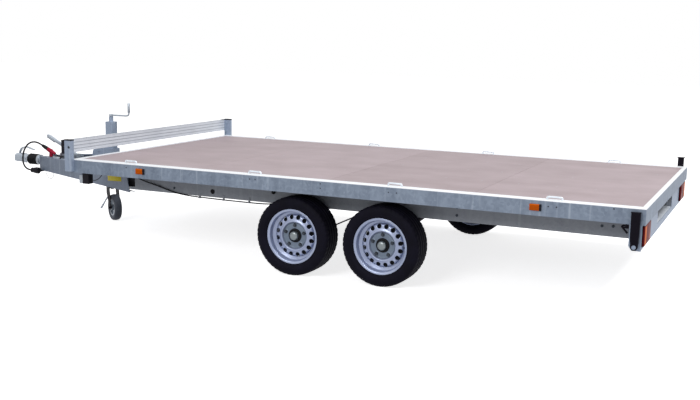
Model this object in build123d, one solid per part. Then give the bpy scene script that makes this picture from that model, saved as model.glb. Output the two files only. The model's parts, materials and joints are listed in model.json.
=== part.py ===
import os
from math import atan2, cos, degrees, pi, radians, sin, tan

from build123d import *

# Flat-deck car hauler trailer: a tandem-axle platform on two long beams, a V drawbar with
# an overrun brake, a wind-up jockey wheel, a low headboard and two prop stands at the tail.
# Millimetres. Built with X = 0 at the rear face, +X towards the drawbar, +Y to the left,
# Z = 0 on the ground. The finished pieces are shifted so that X = 0 is the middle.

# Driving dimensions: platform
platform_length = 4030
platform_width = 2150
deck_height = 652
rail_height = 93
rail_flange = 85
end_flange_rear = 30
end_flange_front = 45
rail_foot = 40
sheet = 3
board_thickness = 15
board_joint = 2
board_count = 4
seat_gap = 0.3

# Driving dimensions: chassis
long_beam_inset = 270
long_beam_width = 50
long_beam_depth = 128
long_beam_wall = 4
long_beam_rear_gap = 60
cross_member_width = 40
cross_member_wall = 2.5

# Driving dimensions: running gear
axle_setback = 1793
axle_spacing = 627
wheel_inset = 112
tyre_radius = 262.5
tyre_width = 200
rim_radius = 182.6
rim_width = 168
rim_wall = 4
rim_lip = 15
hub_face_offset = 30
vent_count = 16
vent_radius = 13
vent_circle = 121
centre_bore = 47
cap_radius = 30
drum_radius = 112
drum_depth = 62
spindle_radius = 22
running_gap = 0.05
axle_tube = 70
axle_lead = 120
axle_rise = 94
swing_arm_thickness = 30
hanger_half = 70

# Driving dimensions: drawbar and coupling
nose_reach = 1500
arm_setback = 320
arm_front_y = 62
arm_lap = 340
arm_drop = 79
arm_front_height = 118
arm_rear_drop = 154
arm_wall = 4
arm_flange = 50
arm_end_slant = 62
beam_end_notch = 48
rear_tie_setback = 130
rear_tie_drop = 29
rear_tie_depth = 100
tie_width = 60
coupling_height = 452
drawtube_radius = 27
housing_radius = 36
housing_setback = 570
housing_length = 310
cheek_reach = 160
neck_setback = 158
neck_half = 38
ball_setback = 45
ball_radius = 25
gaiter_folds = 5

# Driving dimensions: handbrake
lever_setback = 690
lever_rise = 50
lever_length = 370
lever_rest = 27
rod_y = 52
rod_setback = 645
rod_rise = 18
rod_rear_rise = 63.5
rod_radius = 6

# Driving dimensions: jack
jack_reach = 460
jack_tube_size = 72
jack_tube_wall = 4
jack_tube_lift = 3
jack_tube_length = 369
jack_leg_rise = 198
jack_tie_rise = 56
jack_tie_depth = 42
jack_tie_width = 76
bracket_lift = 14
bracket_height = 124
bracket_margin = 14
bracket_reach = 130
fork_lift = 65
jockey_radius = 110
jockey_width = 62
jockey_trail = 60
swivel_rest = -35

# Driving dimensions: headboard and tail
post_setback = 40
post_width = 60
post_depth = 30
post_wall = 3
post_foot_rise = 9
post_rise = 138
headboard_rise = 43
headboard_height = 95
headboard_depth = 28
headboard_overlap = 22
tail_recess = 20
tail_drop = 149
tail_window_half = 370
tail_window_rise = 42
tail_window_height = 88
tray_length = 1280
lamp_inset = 35
lamp_width = 250
lamp_height = 122
lamp_rise = 19
lamp_depth = 16
marker_setback_rear = 625
marker_setback_front = 615
marker_rise = 50
front_lamp_setback = 103
front_lamp_drop = 77
loop_setback_rear = 528
loop_setback_front = 493
loop_inset = 60
stand_x = 52
stand_pivot_rise = 26
stand_length = 194
stand_width = 50
stand_depth = 24
stand_wall = 3
stand_gap = 5
stand_taper = 60
stand_foot_plate = 4
stand_drawn_right = 85
pivot_radius = 8

half_width = platform_width / 2
rail_bottom = deck_height - rail_height
board_bottom = deck_height - board_thickness
overall_length = platform_length + nose_reach
nose_x = overall_length
long_beam_y = half_width - long_beam_inset
long_beam_bottom = rail_bottom - long_beam_depth
axle_x_front = platform_length - axle_setback
axle_x_rear = axle_x_front - axle_spacing
wheel_plane_y = half_width - wheel_inset
tyre_axis_z = tyre_radius
arm_front_x = nose_x - arm_setback
arm_front_bottom = coupling_height - arm_drop
arm_rear_x = platform_length - arm_lap
arm_rear_bottom = rail_bottom - arm_rear_drop
rear_tie_x = platform_length - rear_tie_setback
housing_start = nose_x - housing_setback
housing_end = housing_start + housing_length
neck_start = nose_x - neck_setback
lever_pivot_x = nose_x - lever_setback
lever_pivot_z = coupling_height + lever_rise
rod_front_x = nose_x - rod_setback
rod_front_z = coupling_height + rod_rise
rod_rear_z = tyre_axis_z + rod_rear_rise
jack_x = platform_length + jack_reach
jack_tube_bottom = coupling_height + jack_tube_lift
jack_tube_top = jack_tube_bottom + jack_tube_length
jack_leg_top = coupling_height + jack_leg_rise
jack_tie_top = coupling_height + jack_tie_rise
jack_tie_bottom = jack_tie_top - jack_tie_depth
jack_leg_size = jack_tube_size - 2 * jack_tube_wall - 2 * seat_gap
fork_top = 2 * jockey_radius + fork_lift
post_back_x = platform_length - post_setback
post_bottom = rail_bottom + post_foot_rise
post_top = deck_height + post_rise
headboard_bottom = deck_height + headboard_rise
tail_bottom = rail_bottom - tail_drop
tail_window_bottom = tail_bottom + tail_window_rise
tail_window_top = tail_window_bottom + tail_window_height
lamp_outer_y = half_width - lamp_inset
lamp_bottom = tail_bottom + lamp_rise
stand_pivot_z = tail_bottom + stand_pivot_rise


# Helpers

def box(x0, x1, y0, y1, z0, z1):
    size = (x1 - x0, y1 - y0, z1 - z0)
    return Pos((x0 + x1) / 2, (y0 + y1) / 2, (z0 + z1) / 2) * Box(*size)


def rod(start, end, radius):
    # A round bar between two points.
    axis = Vector(*end) - Vector(*start)
    plane = Plane(origin=start, z_dir=axis.normalized())
    return extrude(plane * Circle(radius), axis.length)


def tube(start, end, radius, bore):
    return rod(start, end, radius) - rod(start, end, bore)


def prism_along_y(points, y0, y1):
    # A side-view outline of (x, z) points, extruded from y0 to y1.
    plane = Plane(origin=(0, y1, 0), x_dir=(1, 0, 0), z_dir=(0, -1, 0))
    return extrude(plane * make_face(Polyline(*points, close=True)), y1 - y0)


def prism_along_x(points, x0, x1):
    # An end-view outline of (y, z) points, extruded from x0 to x1.
    plane = Plane(origin=(x0, 0, 0), x_dir=(0, 1, 0), z_dir=(1, 0, 0))
    return extrude(plane * make_face(Polyline(*points, close=True)), x1 - x0)


def turned(points, x, y, z, side):
    # A ring turned about a wheel's own axle from (radius, outward) points.
    plane = Plane(origin=(x, y, z), x_dir=(0, 0, 1), z_dir=(-side, 0, 0))
    face = plane * make_face(Polyline(*points, close=True))
    return revolve(face, Axis((x, y, z), (0, 1, 0)))


def mirrored(shape):
    return mirror(shape, Plane.XZ)


def both_sides(shape):
    return [shape, mirrored(shape)]


# Platform

def side_rail():
    # Folded rail: outer web, top flange with a turned-down lip at the deck, foot flange.
    outer = half_width
    lip = board_thickness - 0.5
    outline = [
        (outer, rail_bottom), (outer, deck_height), (outer - rail_flange, deck_height),
        (outer - rail_flange, deck_height - lip), (outer - rail_flange + sheet, deck_height - lip),
        (outer - rail_flange + sheet, deck_height - sheet), (outer - sheet, deck_height - sheet),
        (outer - sheet, rail_bottom + sheet), (outer - rail_foot, rail_bottom + sheet),
        (outer - rail_foot, rail_bottom),
    ]
    return prism_along_x(outline, sheet, platform_length - sheet)


def end_beam(face_x, inward, flange):
    # Folded beam across one end: its web covers the ends of both side rails.
    inner = half_width - rail_flange
    foot = half_width - rail_foot
    lip = board_thickness - 0.5
    step = inward * sheet
    far = face_x + inward * flange

    def slab(a, b, y, z0, z1):
        return box(min(a, b), max(a, b), -y, y, z0, z1)

    web = slab(face_x, face_x + step, half_width, rail_bottom, deck_height)
    top = slab(face_x + step, far, inner, deck_height - sheet, deck_height)
    edge = slab(far - step, far, inner, deck_height - lip, deck_height)
    base = slab(face_x + step, face_x + inward * rail_foot, foot, rail_bottom, rail_bottom + sheet)
    return web + top + edge + base


def deck_boards():
    # Plywood boards between the flanges, butted over the cross members.
    first = end_flange_rear
    last = platform_length - end_flange_front
    length = (last - first) / board_count
    inner = half_width - rail_flange
    gap = board_joint / 2
    boards = []
    for index in range(board_count):
        start = first + index * length + (gap if index else 0)
        end = first + (index + 1) * length - (gap if index < board_count - 1 else 0)
        boards.append(box(start, end, -inner, inner, board_bottom, deck_height - 1))
    return boards


def cross_member_places():
    # One member under each board joint, one in the middle of each board and one at each end.
    first = end_flange_rear
    last = platform_length - end_flange_front
    half_board = (last - first) / board_count / 2
    places = [first + index * half_board for index in range(1, 2 * board_count)]
    end_gap = rail_foot + cross_member_width / 2 + 2
    return [end_gap] + places + [platform_length - end_gap]


def cross_members():
    low, high = rail_bottom + sheet, board_bottom
    reach = half_width - sheet
    members = []
    for x in cross_member_places():
        outer = box(x - cross_member_width / 2, x + cross_member_width / 2, -reach, reach, low, high)
        hollow = box(
            x - cross_member_width / 2 + cross_member_wall, x + cross_member_width / 2,
            -reach, reach, low + cross_member_wall, high - cross_member_wall,
        )
        members.append(outer - hollow)
    return members


def long_beam():
    # Channel under the cross members, its web outwards.
    outer = long_beam_y + long_beam_width / 2
    inner = long_beam_y - long_beam_width / 2
    top = rail_bottom + sheet
    wall = long_beam_wall
    outline = [
        (outer, long_beam_bottom), (outer, top), (inner, top), (inner, top - wall),
        (outer - wall, top - wall), (outer - wall, long_beam_bottom + wall),
        (inner, long_beam_bottom + wall), (inner, long_beam_bottom),
    ]
    beam = prism_along_x(outline, long_beam_rear_gap, arm_rear_x + 200)
    notch = box(
        arm_rear_x - beam_end_notch, arm_rear_x + 200, outer - 2 * wall, outer + wall,
        long_beam_bottom + 5 * wall, top - 4 * wall,
    )
    return beam - arm_side(-arm_wall - seat_gap) - notch


# Drawbar

arm_rear_y = long_beam_y + long_beam_width / 2
arm_run = arm_front_x - arm_rear_x
arm_angle = degrees(atan2(arm_rear_y - arm_front_y, arm_run))
arm_length = arm_run / cos(radians(arm_angle))


def arm_local():
    # The arm lies along local +X from its front end back, its web on local y = 0,
    # its flanges on the inner side (local -y for the left arm).
    top_front = arm_front_bottom + arm_front_height
    top_rear = rail_bottom - seat_gap
    slant_top = top_rear - (top_rear - top_front) * arm_end_slant / arm_length
    web_outline = [
        (0, arm_front_bottom), (0, top_front), (arm_length - arm_end_slant, slant_top),
        (arm_length, arm_rear_bottom),
    ]
    web = prism_along_y(web_outline, -arm_wall, 0)
    top_end = arm_length - arm_end_slant
    top_outline = [
        (0, top_front), (top_end, slant_top), (top_end, slant_top - arm_wall), (0, top_front - arm_wall),
    ]
    low_outline = [
        (0, arm_front_bottom), (arm_length, arm_rear_bottom),
        (arm_length, arm_rear_bottom + arm_wall), (0, arm_front_bottom + arm_wall),
    ]
    top = prism_along_y(top_outline, -arm_flange, -arm_wall)
    low = prism_along_y(low_outline, -arm_flange, -arm_wall)
    return web, top + low


def arm_place(shape):
    # Turns an arm's local shape so that it runs back and outwards from the front end.
    flipped = mirror(shape, Plane.YZ)
    return Pos(arm_front_x, arm_front_y, 0) * Rot(0, 0, -arm_angle) * flipped


def drawbar_arm():
    # The flanges are notched round the overrun housing and round the long beam's end.
    web, flanges = [arm_place(shape) for shape in arm_local()]
    nose_room = box(arm_front_x - 300, arm_front_x + 50, -200, housing_radius + 10, 300, 600)
    beam_inner = long_beam_y - long_beam_width / 2 - seat_gap
    tail_room = box(arm_rear_x - 200, arm_rear_x + 400, beam_inner, half_width, 300, rail_bottom + 10)
    return web + (flanges - nose_room - tail_room)


def arm_top_at(x, y):
    # Height of the left arm's sloping top edge beside a place on its web.
    turn = radians(arm_angle)
    along = (arm_front_x - x) * cos(turn) + (y - arm_front_y) * sin(turn)
    top_front = arm_front_bottom + arm_front_height
    return top_front + (rail_bottom - seat_gap - top_front) * along / arm_length


def arm_side(inner):
    # Everything on the outer side of a plane along the left arm, "inner" away from its web.
    return arm_place(box(-200, arm_length + 400, inner, 900, 200, 800))


def tie_between_arms(x0, x1, z0, z1, wall):
    # Channel across the drawbar between the arms' flanges, mitred to both webs.
    outer = box(x0, x1, -half_width, half_width, z0, z1)
    hollow = box(x0 + wall, x1 - wall, -half_width, half_width, z0 - 1, z1 - wall)
    trim = arm_side(-arm_wall - seat_gap)
    return outer - hollow - trim - mirrored(trim)


def drawbar_ties():
    front_edge = jack_x + jack_tube_size / 2 + bracket_margin
    jack_tie = tie_between_arms(
        front_edge, front_edge + jack_tie_width, jack_tie_bottom, jack_tie_top, arm_wall,
    )
    tie_top = rail_bottom - rear_tie_drop
    rear_tie = tie_between_arms(
        rear_tie_x, rear_tie_x + tie_width, tie_top - rear_tie_depth, tie_top, arm_wall,
    )
    return [jack_tie, rear_tie]


def overrun_housing():
    start, end = housing_start, housing_end
    z = coupling_height
    body = rod((start, 0, z), (end, 0, z), housing_radius)
    collar = rod((end - 22, 0, z), (end, 0, z), housing_radius + 7)
    saddle_start, saddle_end = start + 120, end - 60
    saddle = box(saddle_start, saddle_end, -400, 400, z - 30, z + 30)
    saddle -= box(saddle_start + 6, saddle_end - 6, -400, 400, z - 24, z + 24)
    trim = arm_side(-arm_wall - seat_gap)
    saddle = saddle - trim - mirrored(trim)
    cheek = box(start - cheek_reach, start + 60, 16, 22, z - 20, z + 78)
    bridge = box(start + 10, start + 60, -19, 19, z + 10, z + 40)
    bore = rod((start - 5, 0, z), (end + 5, 0, z), drawtube_radius + running_gap)
    shell = body + collar + saddle + cheek + mirrored(cheek) + bridge - bore
    pivot = rod((lever_pivot_x, -28, lever_pivot_z), (lever_pivot_x, 28, lever_pivot_z), 7)
    rod_pin = rod((rod_front_x, -rod_y - 8, rod_front_z), (rod_front_x, -18, rod_front_z), rod_radius)
    return shell + pivot + rod_pin


def coupling_body():
    # Drawtube, neck and a ball cup that opens downwards.
    z = coupling_height
    ball_x = nose_x - ball_setback
    crown = ball_x - ball_setback
    tube_part = rod((housing_start + 30, 0, z), (neck_start + 28, 0, z), drawtube_radius)
    neck_outline = [
        (neck_start, z - 34), (neck_start, z + 34), (crown, z + 44), (ball_x + 20, z + 44),
        (nose_x - 8, z + 26), (nose_x, z + 4), (nose_x, z - 14), (crown, z - 26),
    ]
    neck = prism_along_y(neck_outline, -neck_half, neck_half)
    neck = fillet(neck.edges().filter_by(Axis.Y), 6)
    skirt = Pos(ball_x, 0, z + 3) * Cylinder(40, 58)
    cup = Pos(ball_x, 0, z) * Sphere(ball_radius + 0.3)
    mouth = Pos(ball_x, 0, z - 30) * Cylinder(ball_radius + 0.3, 60)
    head = neck + skirt
    return tube_part + head - cup - mouth


def coupling_handle():
    # Arched grip over the coupling, hinged on the head.
    z = coupling_height
    outline = [
        (-30, 44 + seat_gap), (-52, 78), (-90, 104), (-130, 106), (-210, 84),
        (-208, 74), (-132, 94), (-96, 92), (-68, 72), (-60, 44 + seat_gap),
    ]
    placed = [(nose_x + reach, z + rise) for reach, rise in outline]
    return prism_along_y(placed, -16, 16)


def bellows():
    # Rubber gaiter with folds round the drawtube.
    start, end = housing_end + 1, neck_start - 1
    pitch = (end - start) / gaiter_folds
    points = [(start, drawtube_radius + 1)]
    for index in range(gaiter_folds):
        left = start + index * pitch
        points += [(left, 38), (left + pitch / 2, 47)]
    points += [(end, 38), (end, drawtube_radius + 1)]
    plane = Plane(origin=(0, 0, coupling_height), x_dir=(1, 0, 0), z_dir=(0, -1, 0))
    face = plane * make_face(Polyline(*points, close=True))
    return revolve(face, Axis((0, 0, coupling_height), (1, 0, 0)))


def handbrake_lever():
    # Straight bar with a boss at the pivot and a flattened grip at its end.
    boss = tube((0, -12, 0), (0, 12, 0), 20, 7 + running_gap)
    bar = box(16, lever_length - 100, -8, 8, -12, 12)
    grip = box(lever_length - 100, lever_length, -14, 14, -13, 13)
    grip = fillet(grip.edges().filter_by(Axis.X), 8)
    lever = boss + bar + grip
    return Pos(lever_pivot_x, 0, lever_pivot_z) * Rot(0, -lever_rest, 0) * lever


# Jack

def jack_bracket():
    half = jack_tube_size / 2
    low = jack_tie_bottom + bracket_lift
    high = low + bracket_height
    back_x = jack_x - half - bracket_margin
    step_x = jack_x + half + bracket_margin
    front_x = jack_x + half + bracket_reach
    outline = [
        (back_x, low), (back_x, high), (front_x, high), (front_x, jack_tie_top),
        (step_x, jack_tie_top), (step_x, low),
    ]
    plate = prism_along_y(outline, half, half + 6)
    nose_edge = plate.edges().filter_by(Axis.Y).sort_by(lambda edge: edge.center().X + edge.center().Z)[-1]
    plate = fillet([nose_edge], bracket_height * 0.4)
    hole_z = (high + jack_tie_top) / 2 + 10
    plate -= rod((step_x + 46, 0, hole_z), (step_x + 46, 2 * half, hole_z), 8)
    back = box(back_x, back_x + 6, -half, half, low, high)
    return plate + mirrored(plate) + back


def jack_tube():
    half = jack_tube_size / 2
    wall = jack_tube_wall
    outer = box(jack_x - half, jack_x + half, -half, half, jack_tube_bottom, jack_tube_top)
    outer = fillet(outer.edges().filter_by(Axis.Z), 8)
    inner = box(
        jack_x - half + wall, jack_x + half - wall, -half + wall, half - wall,
        jack_tube_bottom, jack_tube_top - wall,
    )
    collar = rod((jack_x, 0, jack_tube_top), (jack_x, 0, jack_tube_top + 42), 18)
    spindle = rod((jack_x, 0, jack_tube_top + 42), (jack_x, 0, jack_tube_top + 62), 8)
    return outer - inner + collar + spindle


def jack_crank():
    # Boss on the spindle, arm and upright grip.
    z = jack_tube_top + 43
    arm_reach = 165
    boss = tube((0, 0, z), (0, 0, z + 20), 16, 8 + running_gap)
    arm = box(14, arm_reach, -7, 7, z + 6, z + 16)
    grip = rod((arm_reach, 0, z + 6), (arm_reach, 0, z + 116), 12)
    return Pos(jack_x, 0, 0) * Rot(0, 0, 188) * (boss + arm + grip)


def jack_leg():
    half = jack_leg_size / 2
    outer = box(jack_x - half, jack_x + half, -half, half, fork_top + 12, jack_leg_top)
    inner = box(
        jack_x - half + 5, jack_x + half - 5, -half + 5, half - 5, fork_top + 22, jack_leg_top,
    )
    kingpin = rod((jack_x, 0, fork_top - 30), (jack_x, 0, fork_top + 12), 12)
    return outer - inner + kingpin


def fork_place(shape):
    return Pos(jack_x, 0, 0) * Rot(0, 0, swivel_rest) * shape


def jockey_fork():
    # Two legs from a bearing plate down to the trailing axle.
    gap = jockey_width / 2 + 6
    top = fork_top
    leg_outline = [
        (34, top - 18), (-44, top - 18), (-jockey_trail - 22, jockey_radius - 6),
        (-jockey_trail - 14, jockey_radius - 20), (-jockey_trail + 14, jockey_radius - 20),
        (-jockey_trail + 24, jockey_radius), (34, top - 60),
    ]
    leg = prism_along_y(leg_outline, gap, gap + 5)
    head = box(-44, 34, -gap - 5, gap + 5, top - 18, top - 10)
    cup = rod((0, 0, top - 18), (0, 0, top + 11), 30)
    bore = rod((0, 0, top - 20), (0, 0, top + 20), 12 + running_gap)
    axle = rod((-jockey_trail, -gap - 18, jockey_radius), (-jockey_trail, gap + 18, jockey_radius), 8)
    lever = rod((4, gap + 5, top - 96), (22, gap + 56, top - 190), 5)
    return fork_place(head + cup - bore + leg + mirrored(leg) + axle + lever)


def jockey_tyre():
    half = jockey_width / 2
    outline = [
        (70, -half + 8), (96, -half), (jockey_radius - 3, -half + 12), (jockey_radius, 0),
        (jockey_radius - 3, half - 12), (96, half), (70, half - 8),
    ]
    return fork_place(turned(outline, -jockey_trail, 0, jockey_radius, 1))


def jockey_rim():
    half = jockey_width / 2
    bore = 8 + running_gap
    outline = [
        (bore, -half), (24, -half), (24, -12), (58, -12), (58, -half + 6), (70, -half + 6),
        (70, half - 6), (58, half - 6), (58, 12), (24, 12), (24, half), (bore, half),
    ]
    return fork_place(turned(outline, -jockey_trail, 0, jockey_radius, 1))


# Running gear

def tyre(x, side):
    half = tyre_width / 2
    bead = rim_radius - rim_lip + seat_gap
    heel = rim_width / 2 - 13.5
    outline = [
        (bead, -heel), (rim_radius + 1, -heel - 9), (rim_radius + 6, -heel - 17), (rim_radius + 34, -half),
        (tyre_radius - 12, -half + 10), (tyre_radius, -half + 26), (tyre_radius, half - 26),
        (tyre_radius - 12, half - 10), (rim_radius + 34, half), (rim_radius + 6, heel + 17),
        (rim_radius + 1, heel + 9), (bead, heel), (bead, heel - 16), (rim_radius + 30, half - 14),
        (tyre_radius - 18, half - 24), (tyre_radius - 18, -half + 24), (rim_radius + 30, -half + 14),
        (bead, -heel + 16),
    ]
    return turned(outline, x, side * wheel_plane_y, tyre_axis_z, side)


def wheel(x, side):
    # Well-based rim, dished disc with vent holes, brake drum and grease cap, as one solid.
    half = rim_width / 2
    r = rim_radius
    w = rim_wall
    seat = r - rim_lip
    face = hub_face_offset
    rim_outline = [
        (r, -half), (r, -half + w), (seat, -half + 12), (seat, -half + 34), (seat - 22, -half + 44),
        (seat - 22, half - 60), (seat, half - 44), (seat, half - 12), (r, half - w), (r, half),
        (seat - w, half - 8), (seat - w, half - 46), (seat - 22 - w, half - 62),
        (seat - 22 - w, -half + 42), (seat - w, -half + 32), (seat - w, -half + 8),
    ]
    well = seat - 22 - w
    disc_outline = [
        (well, 0), (well, 20), (well - 6, 36), (126, 44), (110, 46), (97, 50), (88, 48), (80, face + w),
        (centre_bore, face + w), (centre_bore, face), (82, face), (89, 43), (97, 45.5), (110, 41.5),
        (124, 39.5), (131, 33), (well - w, 19), (well - w, 0),
    ]
    y = side * wheel_plane_y
    z = tyre_axis_z
    body = turned(rim_outline, x, y, z, side) + turned(disc_outline, x, y, z, side)
    for index in range(vent_count):
        angle = radians(360 * (index + 0.5) / vent_count)
        vx, vz = x + vent_circle * cos(angle), z + vent_circle * sin(angle)
        body -= rod((vx, y + side * 30, vz), (vx, y + side * 60, vz), vent_radius)
    drum_outline = [
        (spindle_radius + running_gap, face - drum_depth), (drum_radius, face - drum_depth),
        (drum_radius, face - 12), (drum_radius - 14, face), (centre_bore - 1, face),
        (centre_bore - 1, face + 9), (cap_radius + 2, face + 12), (cap_radius, face + 26),
        (cap_radius - 10, face + 35), (0, face + 38), (0, face + 14),
        (spindle_radius + running_gap, face + 14),
    ]
    return body + turned(drum_outline, x, y, z, side)


def axle_beam(x):
    # Rubber-torsion axle tube with its two brackets up to the long beams.
    tube_x, tube_z = x + axle_lead, tyre_axis_z + axle_rise
    half = axle_tube / 2
    reach = long_beam_y + long_beam_width / 2 - 15
    tube_part = box(tube_x - half, tube_x + half, -reach, reach, tube_z - half, tube_z + half)
    tube_part = fillet(tube_part.edges().filter_by(Axis.Y), 10)
    hollow = box(
        tube_x - half + 6, tube_x + half - 6, -reach, reach, tube_z - half + 6, tube_z + half - 6,
    )
    axle = tube_part - hollow
    for side in (-1, 1):
        y0, y1 = sorted((side * (long_beam_y - 25), side * (long_beam_y - 17)))
        hanger = [
            (tube_x - hanger_half, long_beam_bottom), (tube_x + hanger_half, long_beam_bottom),
            (tube_x + half + 14, tube_z - 10), (tube_x - half - 14, tube_z - 10),
        ]
        cheek = prism_along_y(hanger, y0, y1)
        cheek -= box(tube_x - half, tube_x + half, y0 - 1, y1 + 1, tube_z - half, tube_z + half)
        p0, p1 = sorted((side * (long_beam_y - 25), side * (long_beam_y + 20)))
        pad = box(
            tube_x - hanger_half, tube_x + hanger_half, p0, p1, long_beam_bottom - 6, long_beam_bottom,
        )
        axle = axle + cheek + pad
    return axle


def swing_arm(x, side):
    # Trailing arm, stub spindle and brake backplate.
    tube_x, tube_z = x + axle_lead, tyre_axis_z + axle_rise
    y0 = long_beam_y + long_beam_width / 2 - 15
    y1 = y0 + swing_arm_thickness
    hull = make_hull(
        (Pos(tube_x, tube_z) * Circle(36)).edges() + (Pos(x, tyre_axis_z) * Circle(30)).edges()
    )
    plane = Plane(origin=(0, y1, 0), x_dir=(1, 0, 0), z_dir=(0, -1, 0))
    arm = extrude(plane * hull, y1 - y0)
    z = tyre_axis_z
    stub_end = wheel_plane_y + hub_face_offset + 10
    stub = rod((x, y1 - 5, z), (x, stub_end, z), spindle_radius)
    plate_y = wheel_plane_y + hub_face_offset - drum_depth - 2
    neck = rod((x, y1 - 5, z), (x, plate_y, z), 34)
    plate = rod((x, plate_y - 4, z), (x, plate_y, z), drum_radius + 3)
    shape = arm + neck + plate + stub
    return shape if side > 0 else mirrored(shape)


def brake_rods():
    # Pull rod from the eye at the handbrake to the yoke ahead of the front axle.
    z = rod_rear_z
    yoke_x = axle_x_front + axle_lead + 110
    pull = rod((yoke_x, -rod_y, z), (rod_front_x, -rod_y, rod_front_z), rod_radius)
    yoke = box(yoke_x - 12, yoke_x, -rod_y - 80, rod_y + 80, z - 14, z + 14)
    bolt = rod(
        (rod_front_x, -200, rod_front_z), (rod_front_x, 200, rod_front_z), rod_radius + running_gap,
    )
    eye = rod((rod_front_x, -rod_y - 6, rod_front_z), (rod_front_x, -rod_y + 6, rod_front_z), 14)
    return pull + yoke + eye - bolt


# Headboard

def headboard_post():
    outer_y = half_width + post_depth
    outer = box(post_back_x, post_back_x + post_width, half_width, outer_y, post_bottom, post_top)
    wall = post_wall
    inner = box(
        post_back_x + wall, post_back_x + post_width - wall, half_width + wall, outer_y - wall,
        post_bottom, post_top,
    )
    return outer - inner


def headboard():
    # Extruded aluminium board with grooves on both faces, hollow inside.
    x0 = post_back_x + post_width
    x1 = x0 + headboard_depth
    z0, z1 = headboard_bottom, headboard_bottom + headboard_height
    reach = half_width + headboard_overlap
    board = box(x0, x1, -reach, reach, z0, z1)
    for index in (1, 2, 3):
        z = z0 + headboard_height * index / 4
        board -= box(x0 - 1, x0 + 3, -reach, reach, z - 3, z + 3)
        board -= box(x1 - 3, x1 + 1, -reach, reach, z - 3, z + 3)
    for index in range(4):
        low = z0 + headboard_height * index / 4
        high = z0 + headboard_height * (index + 1) / 4
        board -= box(x0 + 6, x1 - 6, -reach, reach, low + 4, high - 4)
    return board


def end_caps():
    # Black caps on the posts and sleeves on the board's ends.
    x0 = post_back_x
    lid = box(
        x0 - 1, x0 + post_width + 1, half_width - 1, half_width + post_depth + 1, post_top, post_top + 8,
    )
    bx0 = post_back_x + post_width + 0.5
    bx1 = post_back_x + post_width + headboard_depth
    z0, z1 = headboard_bottom, headboard_bottom + headboard_height
    reach = half_width + headboard_overlap
    sleeve = box(bx0, bx1 + 2, reach - 40, reach + 6, z0 - 2, z1 + 2)
    sleeve -= box(bx0 - 5, bx1, reach - 50, reach, z0, z1)
    return both_sides(lid) + both_sides(sleeve)


# Tail

def tail_panel():
    # Recessed lamp panel below the rear beam with the ramp slot, and a stiffening lip.
    reach = half_width - 5
    x0 = tail_recess
    face = box(x0, x0 + sheet, -reach, reach, tail_bottom, rail_bottom)
    lip = box(x0 + sheet, x0 + 30, -reach, reach, tail_bottom, tail_bottom + sheet)
    window = box(
        x0 - 5, x0 + sheet + 5, -tail_window_half, tail_window_half, tail_window_bottom, tail_window_top,
    )
    return face + lip - window


def ramp_tray():
    # Sheet trough behind the window that holds the loading ramps, hung under the cross members.
    x0 = tail_recess + sheet + seat_gap
    x1 = x0 + tray_length
    reach = tail_window_half + sheet
    low = tail_window_bottom - sheet
    top = rail_bottom + sheet - seat_gap
    outer = box(x0, x1, -reach, reach, low, top)
    hollow = box(
        x0 - sheet, x1 - sheet, -tail_window_half, tail_window_half, tail_window_bottom, top + sheet,
    )
    under_beam = box(
        x0 - sheet, rail_foot + seat_gap, -reach, reach, rail_bottom - seat_gap, top + sheet,
    )
    return outer - hollow - under_beam


def corner_plate():
    # Side plate under the rail that carries the prop stand's pivot.
    y0, y1 = half_width - 5, half_width
    outline = [
        (tail_recess - 4, rail_bottom), (tail_recess - 4, tail_bottom), (tail_recess + 48, tail_bottom),
        (tail_recess + 66, tail_bottom + 26), (tail_recess + 66, rail_bottom),
    ]
    plate = prism_along_y(outline, y0, y1)
    spacer = rod((stand_x, y1, stand_pivot_z), (stand_x, y1 + stand_gap - seat_gap, stand_pivot_z), 15)
    end = y1 + stand_gap + stand_depth + seat_gap
    pin = rod((stand_x, y1, stand_pivot_z), (stand_x, end + 6, stand_pivot_z), pivot_radius)
    head = rod((stand_x, end, stand_pivot_z), (stand_x, end + 6, stand_pivot_z), 12)
    return plate + spacer + pin + head


def stand_leg():
    # Outer tube of a prop stand, folded up on its pivot, open at the top.
    y0 = half_width + stand_gap
    y1 = y0 + stand_depth
    z = stand_pivot_z
    half = stand_width / 2
    toe_radius = half - 5
    outline = [
        (stand_x - half, z + stand_length), (stand_x - half, z + stand_taper),
        (stand_x - toe_radius, z), (stand_x + toe_radius, z), (stand_x + half, z + stand_taper),
        (stand_x + half, z + stand_length),
    ]
    shell = prism_along_y(outline, y0, y1)
    toe = rod((stand_x, y0, z), (stand_x, y1, z), toe_radius)
    wall = stand_wall
    bore_low = z + toe_radius + 2
    bore = box(
        stand_x - half + wall, stand_x + half - wall, y0 + wall, y1 - wall,
        z + stand_taper, z + stand_length,
    )
    bore += box(
        stand_x - toe_radius + wall, stand_x + toe_radius - wall, y0 + wall, y1 - wall,
        bore_low, z + stand_taper,
    )
    pivot = rod((stand_x, y0 - 1, z), (stand_x, y1 + 1, z), pivot_radius + running_gap)
    return shell + toe - bore - pivot


def stand_foot(drawn):
    # Sliding inner tube with its foot plate.
    y0 = half_width + stand_gap
    inset = stand_wall + seat_gap
    half = stand_width / 2 - inset
    z0 = stand_pivot_z + stand_taper + seat_gap + drawn
    z1 = stand_pivot_z + stand_length + seat_gap + drawn
    inner = box(stand_x - half, stand_x + half, y0 + inset, y0 + stand_depth - inset, z0, z1)
    foot_half = stand_width / 2 + 3
    plate = box(
        stand_x - foot_half, stand_x + foot_half, y0, y0 + stand_depth, z1, z1 + stand_foot_plate,
    )
    return inner + plate


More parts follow.
